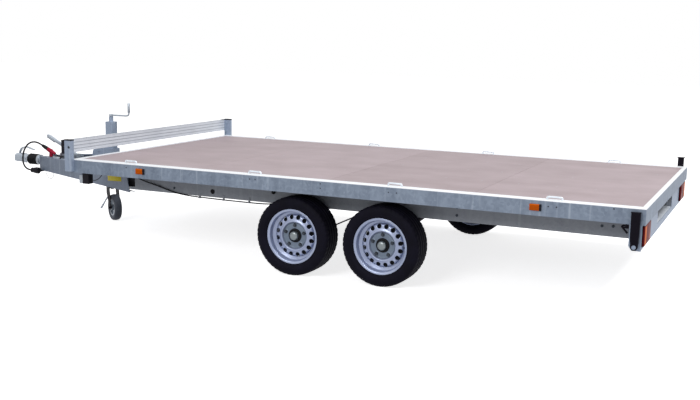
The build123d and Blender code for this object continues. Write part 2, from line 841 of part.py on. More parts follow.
def lock_pin():
    # Spring pin that locks the stand, with its bent handle.
    x = tail_recess + 72
    y = half_width - 20
    block = box(x, x + 16, y, y + 16, rail_bottom - 26, rail_bottom)
    shank = rod((x + 8, y + 8, rail_bottom - 22), (x + 36, y + 8, rail_bottom - 22), 5)
    handle = rod((x + 34, y + 8, rail_bottom - 20), (x + 18, y + 8, rail_bottom - 58), 4)
    return block + shank + handle


def rear_lamp():
    x1 = tail_recess
    y1 = lamp_outer_y
    lamp = box(x1 - lamp_depth, x1, y1 - lamp_width, y1, lamp_bottom, lamp_bottom + lamp_height)
    return fillet(lamp.edges().filter_by(Axis.X), 8)


def side_marker(x):
    z = rail_bottom + marker_rise
    lamp = box(x - 35, x + 35, half_width, half_width + 12, z - 20, z + 20)
    return fillet(lamp.edges().filter_by(Axis.Y), 6)


def front_lamp():
    # Position lamp on a bracket under the front corner.
    y0, y1 = half_width - 60, half_width - 10
    join = platform_length - front_lamp_setback
    low = rail_bottom - front_lamp_drop
    body = box(join - 53, join, y0, y1, low, rail_bottom)
    lens = box(join, join + 31, y0 + 3, y1 - 3, low + 2, low + 58)
    return body, lens


def lashing_loop(x):
    # Flat hoop welded to the rail's top flange.
    y = half_width - loop_inset
    reach, rise, radius = 45, 16, 6
    z = deck_height
    path = FilletPolyline((x - reach, y, z), (x - reach, y, z + rise), (x + reach, y, z + rise),
                          (x + reach, y, z), radius=9)
    return sweep(Plane(origin=path @ 0, z_dir=path % 0) * Circle(radius), path)


# Cables

def route_from_nose(offsets):
    # Route points given from the coupling's nose and height.
    return [(nose_x + ahead, y, coupling_height + above) for ahead, y, above in offsets]


cable_radius = 7
cable_points = route_from_nose([
    (-380, 92, 140), (-340, 96, 161), (-290, 100, 166), (-242, 103, 150), (-205, 104, 114),
    (-180, 104, 68), (-172, 104, 20), (-172, 104, -22.6), (-193, 104, -59), (-229.4, 104, -80),
    (-271.4, 104, -80),
])
wire_radius = 2
wire_points = route_from_nose([
    (-400, 80, -78.1), (-403, 82, -98), (-420, 90, -118), (-448, 102, -134), (-480, 116, -140),
    (-510, 130, -132), (-534, 142, -114), (-546, 149, -94), (-549, 152, -75),
])


def corner_radii(points):
    # The largest arc that each corner's two runs allow.
    radii = []
    for before, at, after in zip(points, points[1:], points[2:]):
        first = Vector(*at) - Vector(*before)
        second = Vector(*after) - Vector(*at)
        half_turn = radians(first.get_angle(second)) / 2
        radii.append(0.45 * min(first.length, second.length) / tan(half_turn))
    return radii


def cord(name, points, radius):
    radii = corner_radii(points)
    path = FilletPolyline(*points, radius=radii)
    shape = sweep(Plane(origin=path @ 0, z_dir=path % 0) * Circle(radius), path)
    section = pi * radius ** 2
    share = shape.volume / section / path.length
    print(name, "length", round(path.length), "volume share", round(share, 4))
    print(name, "radii", [round(value) for value in radii])
    return shape


def cable_fittings():
    # Red clip on the left arm and the tapered boot that it holds.
    start = Vector(*cable_points[0])
    direction = (Vector(*cable_points[1]) - start).normalized()
    back = start - direction * 90
    plane = Plane(origin=back, z_dir=direction)
    boot = loft([plane * Circle(9), plane.offset(30) * Circle(15), plane.offset(90) * Circle(10)])
    seat_z = arm_top_at(back.X - 14, back.Y + 14) + seat_gap
    clip = box(back.X - 14, back.X + 34, back.Y - 14, back.Y + 14, seat_z, back.Z + 1.7)
    return boot, clip - boot


def plug_and_holder():
    # Round plug on the cable's end, parked in a cup under the left arm's front end.
    end = Vector(*cable_points[-1])
    direction = (end - Vector(*cable_points[-2])).normalized()
    plug = rod(end, end + direction * 60, 21) + rod(end + direction * 28, end + direction * 40, 24)
    cup = tube(end + direction * 44, end + direction * 72, 27, 21 + seat_gap)
    back = rod(end + direction * 66, end + direction * 72, 27)
    tab_top = arm_front_bottom - 0.2
    tab = box(arm_front_x - 30, arm_front_x + 8, 40, end.Y, tab_top - 12, tab_top)
    tab -= rod(end, end + direction * 66, 21 + seat_gap)
    return plug, cup + back + tab


# Assembly

def write(node, *shapes):
    # One file for each node, shifted so that X = 0 is the middle of the trailer.
    solids = [solid for shape in shapes for solid in shape.solids()]
    moved = [Pos(-overall_length / 2, 0, 0) * solid for solid in solids]
    shape = moved[0] if len(moved) == 1 else Compound(children=moved)
    export_step(shape, f"parts/{node}.step")


def main():
    os.makedirs("parts", exist_ok=True)
    rail = side_rail()
    write("side_rail_left", rail)
    write("side_rail_right", mirrored(rail))
    write("rear_beam", end_beam(0, 1, end_flange_rear))
    write("front_beam", end_beam(platform_length, -1, end_flange_front))
    write("deck_boards", *deck_boards())
    write("cross_members", *cross_members())
    beam = long_beam()
    write("long_beam_left", beam)
    write("long_beam_right", mirrored(beam))

    arm = drawbar_arm()
    write("drawbar_arm_left", arm)
    write("drawbar_arm_right", mirrored(arm))
    write("drawbar_ties", *drawbar_ties())
    write("overrun_housing", overrun_housing())
    write("bellows", bellows())
    write("coupling_body", coupling_body())
    write("coupling_handle", coupling_handle())
    write("handbrake_lever", handbrake_lever())
    write("brake_rods", brake_rods())

    write("jack_bracket", jack_bracket())
    write("jack_tube", jack_tube())
    write("jack_crank", jack_crank())
    write("jack_leg", jack_leg())
    write("jockey_fork", jockey_fork())
    write("jockey_rim", jockey_rim())
    write("jockey_tyre", jockey_tyre())

    for place, x in (("front", axle_x_front), ("rear", axle_x_rear)):
        write(f"axle_{place}", axle_beam(x))
        write(f"swing_arms_{place}", swing_arm(x, 1), swing_arm(x, -1))
        for hand, side in (("left", 1), ("right", -1)):
            write(f"tyre_{place}_{hand}", tyre(x, side))
            write(f"wheel_{place}_{hand}", wheel(x, side))

    write("headboard_posts", *both_sides(headboard_post()))
    write("headboard", headboard())
    write("end_caps", *end_caps())

    write("tail_panel", tail_panel())
    write("ramp_tray", ramp_tray())
    write("corner_plates", *both_sides(corner_plate()))
    write("lock_pins", *both_sides(lock_pin()))
    leg = stand_leg()
    write("stand_leg_left", leg)
    write("stand_leg_right", mirrored(leg))
    write("stand_foot_left", stand_foot(0))
    write("stand_foot_right", mirrored(stand_foot(stand_drawn_right)))
    write("rear_lamps", *both_sides(rear_lamp()))
    markers = [side_marker(x) for x in (marker_setback_rear, platform_length - marker_setback_front)]
    write("side_markers", *markers, *[mirrored(marker) for marker in markers])
    body, lens = front_lamp()
    write("front_lamp_bodies", *both_sides(body))
    write("front_lamp_lenses", *both_sides(lens))
    loop_step = (platform_length - loop_setback_rear - loop_setback_front) / 3
    loops = [lashing_loop(loop_setback_rear + index * loop_step) for index in range(4)]
    write("lashing_loops", *loops, *[mirrored(loop) for loop in loops])

    boot, clip = cable_fittings()
    write("cable_boot", boot)
    write("cable_clip", clip)
    plug, holder = plug_and_holder()
    write("plug", plug)
    write("plug_holder", holder)
    write("light_cable", cord("light_cable", cable_points, cable_radius))
    write("breakaway_wire", cord("breakaway_wire", wire_points, wire_radius))


main()
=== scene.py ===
# Flat-deck tandem car hauler trailer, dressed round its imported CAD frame.
# Metres; X runs towards the drawbar, Y to the left, Z up from the ground.
import json

import bmesh
import bpy
import numpy as np
from mathutils import Matrix, Vector


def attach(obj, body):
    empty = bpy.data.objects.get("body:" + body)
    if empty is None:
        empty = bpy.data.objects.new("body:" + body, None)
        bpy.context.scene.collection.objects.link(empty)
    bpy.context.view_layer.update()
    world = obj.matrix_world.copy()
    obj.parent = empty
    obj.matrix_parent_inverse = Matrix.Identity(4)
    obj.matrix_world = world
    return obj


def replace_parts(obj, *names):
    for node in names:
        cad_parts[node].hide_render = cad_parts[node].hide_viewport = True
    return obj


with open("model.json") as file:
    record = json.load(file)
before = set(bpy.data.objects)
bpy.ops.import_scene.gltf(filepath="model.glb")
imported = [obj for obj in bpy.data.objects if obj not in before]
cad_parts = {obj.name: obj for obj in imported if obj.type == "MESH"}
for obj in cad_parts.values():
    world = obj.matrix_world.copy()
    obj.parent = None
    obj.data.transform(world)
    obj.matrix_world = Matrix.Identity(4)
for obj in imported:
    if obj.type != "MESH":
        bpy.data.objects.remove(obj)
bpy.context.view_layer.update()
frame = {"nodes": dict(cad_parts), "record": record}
tailX = -2.765  # X of the rear face: places below are counted from the tail
mm = 0.001
weldDistance = 2e-6  # points of a piece that are closer become one
print("stage: frame loaded")

# Camera

photoCamera = {"place": (-3.4847, 6.712, 1.5758), "yaw": 0.4218, "pitch": 0.1648, "roll": 0.0207,
               "focal": 50.974, "sensor": 36.0}


def aimCamera(spec):
    # Forward comes from yaw and pitch; the picture's own right and up are then rolled about it.
    yaw, pitch, roll = spec["yaw"], spec["pitch"], spec["roll"]
    forward = Vector((np.sin(yaw) * np.cos(pitch), -np.cos(yaw) * np.cos(pitch), -np.sin(pitch)))
    level = forward.cross(Vector((0, 0, 1))).normalized()
    upright = level.cross(forward)
    right = level * np.cos(roll) + upright * np.sin(roll)
    up = upright * np.cos(roll) - level * np.sin(roll)
    data = bpy.data.cameras.new("photoCamera")
    data.lens, data.sensor_width = spec["focal"], spec["sensor"]
    data.clip_start, data.clip_end = 0.1, 200
    holder = bpy.data.objects.new("photoCamera", data)
    turn = Matrix((right, up, -forward)).transposed().to_4x4()
    holder.matrix_world = Matrix.Translation(spec["place"]) @ turn
    bpy.context.scene.collection.objects.link(holder)
    bpy.context.scene.camera = holder


aimCamera(photoCamera)


# Finishes

def linear(hexCode):
    # An sRGB hex value as a linear colour.
    c = np.array([int(hexCode[i:i + 2], 16) for i in (1, 3, 5)]) / 255
    return (*np.where(c <= 0.04045, c / 12.92, ((c + 0.055) / 1.055) ** 2.4), 1.0)


def addNode(tree, kind, values=None, links=None, **settings):
    # One node with its settings, its socket values and the sockets that feed it.
    node = tree.nodes.new("ShaderNode" + kind)
    for name, value in settings.items():
        setattr(node, name, value)
    for name, value in (values or {}).items():
        node.inputs[name].default_value = value
    for name, socket in (links or {}).items():
        tree.links.new(socket, node.inputs[name])
    return node


def newFinish(name, values):
    # A material with its shader's plain values set, and the object coordinates its patterns read.
    material = bpy.data.materials.new(name)
    material.use_nodes = True
    tree = material.node_tree
    tree.nodes.clear()
    shader = addNode(tree, "BsdfPrincipled", values)
    addNode(tree, "OutputMaterial", links={"Surface": shader.outputs[0]})
    place = addNode(tree, "TexCoord").outputs["Object"]
    return material, tree, shader, place


def weigh(tree, parts):
    # The sum of some 0 to 1 patterns, each times its share.
    total = None
    for socket, share in parts:
        step = addNode(tree, "Math", {1: share}, {0: socket}, operation="MULTIPLY_ADD")
        if total is None:
            step.inputs[2].default_value = 0.0
        else:
            tree.links.new(total, step.inputs[2])
        total = step.outputs[0]
    return total


def twoTones(tree, spec, pattern, low, high):
    # The finish's dark and light tones, mixed as a pattern rises from low to high.
    spread = addNode(tree, "MapRange", {1: low, 2: high}, {0: pattern})
    tone = addNode(tree, "Mix", {6: linear(spec["dark"]), 7: linear(spec["light"])},
                   {0: spread.outputs[0]}, data_type="RGBA")
    return tone.outputs[2]


def closeFinish(tree, shader, colour, rough, relief):
    # Feeds the shader its colour, its roughness as (pattern, low, high), and its relief as
    # (height pattern, strength, depth in millimetres).
    tree.links.new(colour, shader.inputs["Base Color"])
    if rough:
        pattern, low, high = rough
        spread = addNode(tree, "MapRange", {3: low, 4: high}, {0: pattern})
        tree.links.new(spread.outputs[0], shader.inputs["Roughness"])
    height, strength, depth = relief
    bump = addNode(tree, "Bump", {"Strength": strength, "Distance": depth * mm}, {"Height": height})
    tree.links.new(bump.outputs[0], shader.inputs["Normal"])


def galvanisedSteel(name, spec):
    # Steel dipped in molten zinc: it freezes in centimetre spangles, drains in soft runs and
    # dulls to a mottled blue-grey. A painted highlight turns the tops near white between two given heights.
    material, tree, shader, place = newFinish(name, {"Metallic": spec["metallic"]})
    cells = addNode(tree, "TexVoronoi", {"Scale": 1 / (spec["spangle"] * mm)}, {"Vector": place})
    grey = addNode(tree, "RGBToBW", links={0: cells.outputs["Color"]})
    clouds = addNode(tree, "TexNoise", {"Scale": 5.0, "Detail": 5.0, "Roughness": 0.6}, {"Vector": place})
    tall = addNode(tree, "Mapping", {"Scale": (22, 22, 2.2)}, {"Vector": place})
    runs = addNode(tree, "TexNoise", {"Scale": 1.0, "Detail": 3.0}, {"Vector": tall.outputs[0]})
    mottle = weigh(tree, [(grey.outputs[0], 0.2), (clouds.outputs[0], 0.42), (runs.outputs[0], 0.38)])
    colour = twoTones(tree, spec, mottle, 0.22, 0.78)
    thin = addNode(tree, "Mapping", {"Scale": (34, 34, 1.5), "Location": (3.1, 1.7, 0.4)}, {"Vector": place})
    drips = addNode(tree, "TexNoise", {"Scale": 1.0, "Detail": 4.0}, {"Vector": thin.outputs[0]})
    pale = addNode(tree, "MapRange", {1: 0.6, 2: 0.74, 3: 0.0, 4: 0.4}, {0: drips.outputs[0]})
    marked = addNode(tree, "Mix", {7: linear(spec["drip"])}, {0: pale.outputs[0], 6: colour},
                     data_type="RGBA")
    colour = marked.outputs[2]
    # Painted highlight: the tops between the two heights get a near-white colour, standing in for light from
    # above.
    if "topHighlight" in spec:
        low, high = spec["topHighlightHeights"]
        height = addNode(tree, "SeparateXYZ", links={0: place})
        top = addNode(tree, "MapRange", {1: low, 2: high}, {0: height.outputs[2]})
        highlighted = addNode(tree, "Mix", {7: linear(spec["topHighlight"])}, {0: top.outputs[0], 6: colour},
                         data_type="RGBA")
        colour = highlighted.outputs[2]
    grain = addNode(tree, "TexNoise", {"Scale": 1 / (2.5 * mm), "Detail": 3.0}, {"Vector": place})
    relief = weigh(tree, [(grain.outputs[0], 0.35), (runs.outputs[0], 0.65)])
    closeFinish(tree, shader, colour, (mottle, spec["rough"] - 0.08, spec["rough"] + 0.1),
                (relief, 0.35, 0.6))
    return material


def phenolicPlywood(name, spec):
    # Birch plywood under a brown phenolic film, pressed with a fine mesh; boots and ramps leave
    # pale scuffs along the deck, and each board has its own tone.
    material, tree, shader, place = newFinish(name, {"Specular IOR Level": 0.3})
    axes = addNode(tree, "SeparateXYZ", links={0: place})
    shifted = addNode(tree, "Math", {1: -tailX - spec["first"]}, {0: axes.outputs[0]}, operation="ADD")
    counted = addNode(tree, "Math", {1: 1.0 / spec["board"]}, {0: shifted.outputs[0]}, operation="MULTIPLY")
    board = addNode(tree, "Math", links={0: counted.outputs[0]}, operation="FLOOR")
    own = addNode(tree, "TexWhiteNoise", links={"W": board.outputs[0]}, noise_dimensions="1D")
    long = addNode(tree, "Mapping", {"Scale": (1.1, 3.4, 3.4)}, {"Vector": place})
    scuffs = addNode(tree, "TexNoise", {"Scale": 1.6, "Detail": 6.0, "Roughness": 0.65},
                     {"Vector": long.outputs[0]})
    stains = addNode(tree, "TexNoise", {"Scale": 3.2, "Detail": 4.0}, {"Vector": place})
    mix = weigh(tree, [(scuffs.outputs[0], 0.44), (stains.outputs[0], 0.44), (own.outputs[0], 0.12)])
    # The real mesh is 2 mm; it is drawn at 6 mm so that it shows.
    mesh = addNode(tree, "TexVoronoi", {"Scale": 1 / (6 * mm), "Randomness": 0.15}, {"Vector": place},
                   feature="DISTANCE_TO_EDGE")
    ridge = addNode(tree, "MapRange", {1: 0.0, 2: 0.12}, {0: mesh.outputs[0]})
    closeFinish(tree, shader, twoTones(tree, spec, mix, 0.28, 0.74), (mix, 0.42, 0.62),
                (ridge.outputs[0], 0.25, 0.4))
    return material


def drawnMetal(name, spec):
    # Extruded, painted or plated metal: fine lines or flakes, with light handling marks.
    values = {"Metallic": spec["metallic"], "Coat Weight": spec.get("coat", 0.0), "Coat Roughness": 0.12}
    material, tree, shader, place = newFinish(name, values)
    drawn = addNode(tree, "Mapping", {"Scale": spec["lines"]}, {"Vector": place})
    lines = addNode(tree, "TexNoise", {"Scale": 1.0, "Detail": 2.0}, {"Vector": drawn.outputs[0]})
    marks = addNode(tree, "TexNoise", {"Scale": 6.0, "Detail": 4.0, "Roughness": 0.6}, {"Vector": place})
    mix = weigh(tree, [(lines.outputs[0], 0.5), (marks.outputs[0], 0.5)])
    colour = twoTones(tree, spec, mix, 0.3, 0.7)
    if "grooves" in spec:  # painted shade in the level grooves: the first one's height and their step
        low, step = spec["grooves"]
        height = addNode(tree, "SeparateXYZ", links={0: place})
        above = addNode(tree, "Math", {1: low}, {0: height.outputs[2]}, operation="SUBTRACT")
        near = addNode(tree, "Math", {1: step / 2}, {0: above.outputs[0]}, operation="PINGPONG")
        grooveShadeBand = addNode(tree, "MapRange", {1: 0.0025, 2: 0.0045, 3: 0.4, 4: 0.0}, {0: near.outputs[0]})
        grooveShaded = addNode(tree, "Mix", {7: linear(spec["grooveShade"])}, {0: grooveShadeBand.outputs[0], 6: colour},
                        data_type="RGBA")
        colour = grooveShaded.outputs[2]
    closeFinish(tree, shader, colour, (mix, spec["rough"] - 0.05, spec["rough"] + 0.1),
                (lines.outputs[0], 0.2, 0.2))
    return material


def mouldedSkin(name, spec):
    # Moulded plastic, rubber or baked enamel: an even grain, a little dust in soft patches.
    material, tree, shader, place = newFinish(name, {"Specular IOR Level": spec.get("sheen", 0.12)})
    grain = addNode(tree, "TexNoise", {"Scale": 1 / (spec["grain"] * mm), "Detail": 2.0}, {"Vector": place})
    dust = addNode(tree, "TexNoise", {"Scale": 9.0, "Detail": 6.0, "Roughness": 0.7}, {"Vector": place})
    colour = twoTones(tree, spec, dust.outputs[0], 0.35, 0.75)
    closeFinish(tree, shader, colour, (dust.outputs[0], spec["rough"] - 0.05, spec["rough"] + 0.12),
                (grain.outputs[0], spec.get("relief", 0.2), 0.3))
    return material


def acrylicLens(name, spec):
    # Moulded acrylic lamp lens: tinted through, with small prisms behind a glossy skin. The skin is
    # drawn duller than it is, so that the tint shows at a grazing view.
    values = {"Roughness": 0.34, "IOR": 1.49, "Specular IOR Level": 0.02}
    material, tree, shader, place = newFinish(name, values)
    prisms = addNode(tree, "TexVoronoi", {"Scale": 1 / (4 * mm), "Randomness": 0.0}, {"Vector": place})
    depth = prisms.outputs["Distance"]
    crest = {"dark": spec["light"], "light": spec["dark"]}  # light in the prisms' middles
    closeFinish(tree, shader, twoTones(tree, crest, depth, 0.0, 0.7), None, (depth, 0.3, 0.5))
    return material


finishes = {
    "galvanised": galvanisedSteel("galvanisedSheetTopHighlight", {
        "dark": "#5f6b7d", "light": "#97a4b6", "drip": "#c2ccd8", "metallic": 0.35, "rough": 0.5,
        "spangle": 16, "topHighlight": "#eef1f5", "topHighlightHeights": (0.6485, 0.6512)}),
    "galvanisedPlain": galvanisedSteel("galvanisedFresh", {
        "dark": "#7f8da2", "light": "#a3b0c4", "drip": "#c3ccd8", "metallic": 0.35, "rough": 0.46,
        "spangle": 16}),
    # A darker copy of the fresh zinc for the drawbar arms: painted shade.
    "galvanisedArmShade": galvanisedSteel("galvanisedShaded", {
        "dark": "#556073", "light": "#7f8b9e", "drip": "#9ca7b6", "metallic": 0.35, "rough": 0.48,
        "spangle": 16}),
    "galvanisedPale": galvanisedSteel("galvanisedCasting", {
        "dark": "#a3adb9", "light": "#c6ced8", "drip": "#d9dfe6", "metallic": 0.3, "rough": 0.42,
        "spangle": 12}),
    # Near-white zinc; on the strip on the tray's floor it is painted light.
    "galvanisedBright": galvanisedSteel("galvanisedNearWhite", {
        "dark": "#c6ced8", "light": "#e8edf2", "drip": "#f4f6f8", "metallic": 0.25, "rough": 0.4,
        "spangle": 16}),
    "galvanised_dark": galvanisedSteel("galvanisedDull", {
        "dark": "#7f848d", "light": "#a0a4ab", "drip": "#b2b6bc", "metallic": 0.3, "rough": 0.6,
        "spangle": 14}),
    # Near-black steel, the colour of the painted shade in the beam's opening.
    "shadedSteel": galvanisedSteel("paintedShadeSteel", {
        "dark": "#1f1e22", "light": "#35333a", "drip": "#46444c", "metallic": 0.1, "rough": 0.75,
        "spangle": 12}),
    "plywood": phenolicPlywood("phenolicPlywood", {
        "dark": "#918184", "light": "#b2a3a8", "first": 0.03, "board": 0.98875}),
    "aluminium": drawnMetal("extrudedAluminium", {
        "dark": "#c6ccd5", "light": "#e2e7ee", "metallic": 0.2, "rough": 0.4, "lines": (90, 0.5, 260),
        "grooves": (0.695, 0.02375), "grooveShade": "#7f858e"}),
    "wheel_paint": drawnMetal("silverWheelPaint", {
        "dark": "#8792b0", "light": "#b6c0da", "metallic": 0.4, "rough": 0.3, "lines": (700, 700, 700),
        "coat": 0.15}),
    # A darker copy of the wheel paint for the recessed bolt face: painted shade.
    "shadedBoltFace": drawnMetal("shadedWheelPaint", {
        "dark": "#5c6a7c", "light": "#8592a4", "metallic": 0.3, "rough": 0.34, "lines": (700, 700, 700)}),
    "zinc": drawnMetal("brightZincPlate", {
        "dark": "#8a939e", "light": "#b9c0c8", "metallic": 0.7, "rough": 0.28, "lines": (300, 300, 300)}),
    "dullBolt": drawnMetal("dulledZinc", {
        "dark": "#252a32", "light": "#444b55", "metallic": 0.5, "rough": 0.5, "lines": (300, 300, 300)}),
    "greyCap": drawnMetal("greasyCap", {
        "dark": "#6d7579", "light": "#969d9f", "metallic": 0.6, "rough": 0.26, "lines": (300, 300, 300)}),
    "steel_wire": drawnMetal("strandedWire", {
        "dark": "#44474e", "light": "#6f737a", "metallic": 0.5, "rough": 0.45, "lines": (500, 500, 500)}),
    "tyre": mouldedSkin("tyreRubber", {
        "dark": "#0d0c15", "light": "#181724", "rough": 0.62, "grain": 1.2, "sheen": 0.07}),
    "rubber": mouldedSkin("blackRubber", {
        "dark": "#141417", "light": "#232327", "rough": 0.55, "grain": 0.8}),
    "grey_rubber": mouldedSkin("greyRubber", {
        "dark": "#42464f", "light": "#626874", "rough": 0.55, "grain": 1.0, "sheen": 0.3}),
    "black_plastic": mouldedSkin("blackPlastic", {
        "dark": "#17161c", "light": "#26242c", "rough": 0.45, "grain": 0.7}),
    "black_steel": mouldedSkin("blackEnamel", {
        "dark": "#0d0a13", "light": "#16121d", "rough": 0.42, "grain": 1.6, "sheen": 0.07}),
    "red_plastic": mouldedSkin("redPlastic", {
        "dark": "#8e1730", "light": "#b2243c", "rough": 0.4, "grain": 0.8}),
    "castIron": mouldedSkin("castIron", {
        "dark": "#2a2b2f", "light": "#47484d", "rough": 0.6, "grain": 1.0, "relief": 0.5}),
    "yellowFilm": mouldedSkin("yellowFilm", {
        "dark": "#f4dc0c", "light": "#fdee2a", "rough": 0.35, "grain": 0.6}),
    "red_lens": acrylicLens("redLens", {"dark": "#561216", "light": "#7c262c"}),
    "amber_lens": acrylicLens("amberLens", {"dark": "#c04c0a", "light": "#ee8422"}),
    "clear_lens": acrylicLens("clearLens", {"dark": "#b9c1ca", "light": "#eef2f6"}),
    "reflector": acrylicLens("reflectorPrisms", {"dark": "#9c4c4a", "light": "#cf9a92"}),
}

topHighlightNodes = ("side_rail_left", "side_rail_right", "rear_beam", "front_beam")  # painted highlight on their tops
ownSkins = {"lashing_loops": "galvanisedBright", "drawbar_arm_left": "galvanisedArmShade",
            "drawbar_arm_right": "galvanisedArmShade"}
for part in frame["record"]["subparts"]:
    node, slot = part["node"], part["material_slot"]
    usual = "galvanisedPlain" if slot == "galvanised" and node not in topHighlightNodes else slot
    mesh = frame["nodes"][node].data
    mesh.materials.clear()
    mesh.materials.append(finishes[ownSkins.get(node, usual)])
print("stage: finishes on the CAD nodes")


# Cords: the same route points as the CAD source

cords = {
    "light_cable": {
        "points": [(5150, 92, 592), (5190, 96, 613), (5240, 100, 618), (5288, 103, 602), (5325, 104, 566),
                   (5350, 104, 520), (5358, 104, 472), (5358, 104, 429.4), (5337, 104, 393),
                   (5300.6, 104, 372), (5258.6, 104, 372)],
        "diameter": 0.014, "length": 0.462, "slot": "rubber", "far": "plug", "stiffness": "medium",
        "lay": "hanging", "pieces": ["plug"]},
    "breakaway_wire": {
        "points": [(5130, 80, 373.9), (5127, 82, 354), (5110, 90, 334), (5082, 102, 318), (5050, 116, 312),
                   (5020, 130, 320), (4996, 142, 338), (4984, 149, 358), (4981, 152, 377)],
        "diameter": 0.004, "length": 0.225, "slot": "steel_wire", "far": "object", "stiffness": "stiff",
        "lay": "hanging", "pieces": []},
}

# Leads on the left side that only this dressing has: (route, diameter, length)
leads = {
    "feedCable": ([(5030, 80, 528), (4995, 77, 510), (4950, 82, 502), (4902, 116, 508), (4872, 164, 524),
                   (4852, 204, 532), (4842, 230, 522), (4840, 234, 503)], 0.009, 0.291),
    "frontLampLead": ([(3878, 1040, 508), (3852, 1041, 507), (3818, 1043, 514), (3788, 1046, 532),
                       (3772, 1048, 548), (3768, 1048, 561)], 0.005, 0.131),
    "beamLead": ([(3652, 852, 561), (3622, 850, 530), (3560, 846, 506), (3420, 841, 474), (3290, 838, 438),
                  (3180, 838, 427), (3083, 838, 424), (2887, 838, 421), (2681, 838, 420), (2560, 838, 421),
                  (2490, 838, 428), (2452, 834, 440), (2440, 828, 446)], 0.009, 1.242),
    "brakeCable": ([(2162, 924, 264), (2120, 912, 276), (2050, 894, 310), (1960, 872, 357), (1870, 852, 400),
                    (1800, 843, 434), (1752, 838, 456), (1722, 828, 462)], 0.009, 0.494),
}


def routeCord(name, spec, body="chassis"):
    # A NURBS spline of order 3 whose control points are the route, given a round section.
    route = [(x * mm + tailX, y * mm, z * mm) for x, y, z in spec["points"]]
    curve = bpy.data.curves.new(name + "Line", "CURVE")
    curve.dimensions = "3D"
    curve.bevel_depth, curve.bevel_resolution = spec["diameter"] / 2, 4
    curve.use_fill_caps = True
    spline = curve.splines.new("NURBS")
    spline.points.add(len(route) - 1)
    spline.points.foreach_set("co", np.hstack([route, np.ones((len(route), 1))]).ravel())
    spline.order_u = 3
    spline.use_endpoint_u = True
    spline.resolution_u = 12
    piece = bpy.data.objects.new(name + "Line", curve)
    curve.materials.append(finishes[spec["slot"]])
    bpy.context.scene.collection.objects.link(piece)
    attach(piece, body)
    return piece


leadManner = {"slot": "rubber", "far": "object", "stiffness": "medium", "lay": "hanging", "pieces": []}
for node, spec in cords.items():
    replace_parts(routeCord(node, spec), node)
for name, (points, diameter, length) in leads.items():
    routeCord(name, {"points": points, "diameter": diameter, "length": length, **leadManner})
print("stage: cords")


# Surfaces: every shape below is a grid of points or a profile carried along a path. Places are
# millimetres from the tail, as in the CAD source.

def roundAngles(count):
    # Even angles once round, the last one short of the first.
    return np.linspace(0, 2 * np.pi, count, endpoint=False)


def gridSurface(points, closeU=False, closeV=False):
    # points[u, v] and the quads between them; a closed direction joins its end to its start.
    index = np.arange(points.shape[0] * points.shape[1]).reshape(points.shape[:2])
    if closeU:
        index = np.vstack([index, index[:1]])
    if closeV:
        index = np.hstack([index, index[:, :1]])
    quads = np.stack([index[:-1, :-1], index[1:, :-1], index[1:, 1:], index[:-1, 1:]], -1)
    return points.reshape(-1, 3), quads.reshape(-1, 4)


def turnedPoints(profile, sides):
    # (radius, along) pairs turned about local Z: x = r cos a, y = r sin a, z = along.
    profile = np.asarray(profile, float)
    angle = roundAngles(sides)
    radius, along = profile[:, :1], profile[:, 1:2]
    return np.stack([radius * np.cos(angle), radius * np.sin(angle), along + 0 * angle], -1)


def turnedSurface(profile, sides, loop=False):
    # A turned profile; a looped one also joins its last pair to its first.
    return gridSurface(turnedPoints(profile, sides), closeU=loop, closeV=True)


def turnedSleeve(bore, outer, low, high, sides):
    # A tube along local Z whose outer edges have 1 mm chamfers.
    edges = [(bore, low), (outer - 1, low), (outer, low + 1), (outer, high - 1), (outer - 1, high),
             (bore, high)]
    return turnedSurface(edges, sides, loop=True)


def softLine(points, count):
    # A smooth line through some points: Catmull-Rom cubic between each pair.
    p = np.asarray(points, float)
    p = np.vstack([2 * p[0] - p[1], p, 2 * p[-1] - p[-2]])
    t = np.linspace(0, len(points) - 1, count)
    i = np.minimum(t.astype(int), len(points) - 2)
    f = (t - i)[:, None]
    a, b, c, d = p[i], p[i + 1], p[i + 2], p[i + 3]
    return b + 0.5 * f * (c - a + f * (2 * a - 5 * b + 4 * c - d + f * (3 * (b - c) + d - a)))


def bentLine(points, bend, steps=6):
    # Straight runs whose corners are quadratic arcs that start "bend" before each corner.
    p = np.asarray(points, float)
    before = p[1:-1] + bend * (p[:-2] - p[1:-1]) / np.linalg.norm(p[:-2] - p[1:-1], axis=1)[:, None]
    after = p[1:-1] + bend * (p[2:] - p[1:-1]) / np.linalg.norm(p[2:] - p[1:-1], axis=1)[:, None]
    t = np.linspace(0, 1, steps)[None, :, None]
    arcs = (1 - t) ** 2 * before[:, None] + 2 * t * (1 - t) * p[1:-1][:, None] + t ** 2 * after[:, None]
    return np.vstack([p[:1], arcs.reshape(-1, 3), p[-1:]])


def sweptSurface(line, outline, scale=None, up=(0, 0, 1)):
    # An outline of (side, up) pairs carried along a line, sized by scale, closed at both ends.
    line = np.asarray(line, float)
    outline = np.asarray(outline, float)
    ahead = np.gradient(line, axis=0)
    ahead /= np.linalg.norm(ahead, axis=1)[:, None]
    side = np.cross(ahead, up)
    side /= np.linalg.norm(side, axis=1)[:, None]
    rise = np.cross(side, ahead)
    size = np.ones((len(line), 2))
    if scale is not None:
        size = size * np.asarray(scale, float).reshape(len(line), -1)
    points = (line[:, None] + side[:, None] * (outline[None, :, :1] * size[:, None, :1])
              + rise[:, None] * (outline[None, :, 1:] * size[:, None, 1:]))
    ends = np.repeat(line[[0, -1]][:, None], len(outline), axis=1)
    return gridSurface(np.concatenate([ends[:1], points, ends[1:]]), closeV=True)


def ring(radius, sides=12):
    # A round outline.
    angle = roundAngles(sides)
    return np.stack([radius * np.cos(angle), radius * np.sin(angle)], -1)


def roundedOblong(wide, tall, power, angle):
    # A superellipse: each half size times the cosine or sine to a power, which keeps its sign.
    across, rise = np.cos(angle), np.sin(angle)
    return np.stack([wide * np.sign(across) * np.abs(across) ** power,
                     tall * np.sign(rise) * np.abs(rise) ** power], -1)


def fade(past, soft):
    # 1 before an edge and 0 past it: the logistic curve of the distance past the edge.
    return 1 / (1 + np.exp(past / soft))


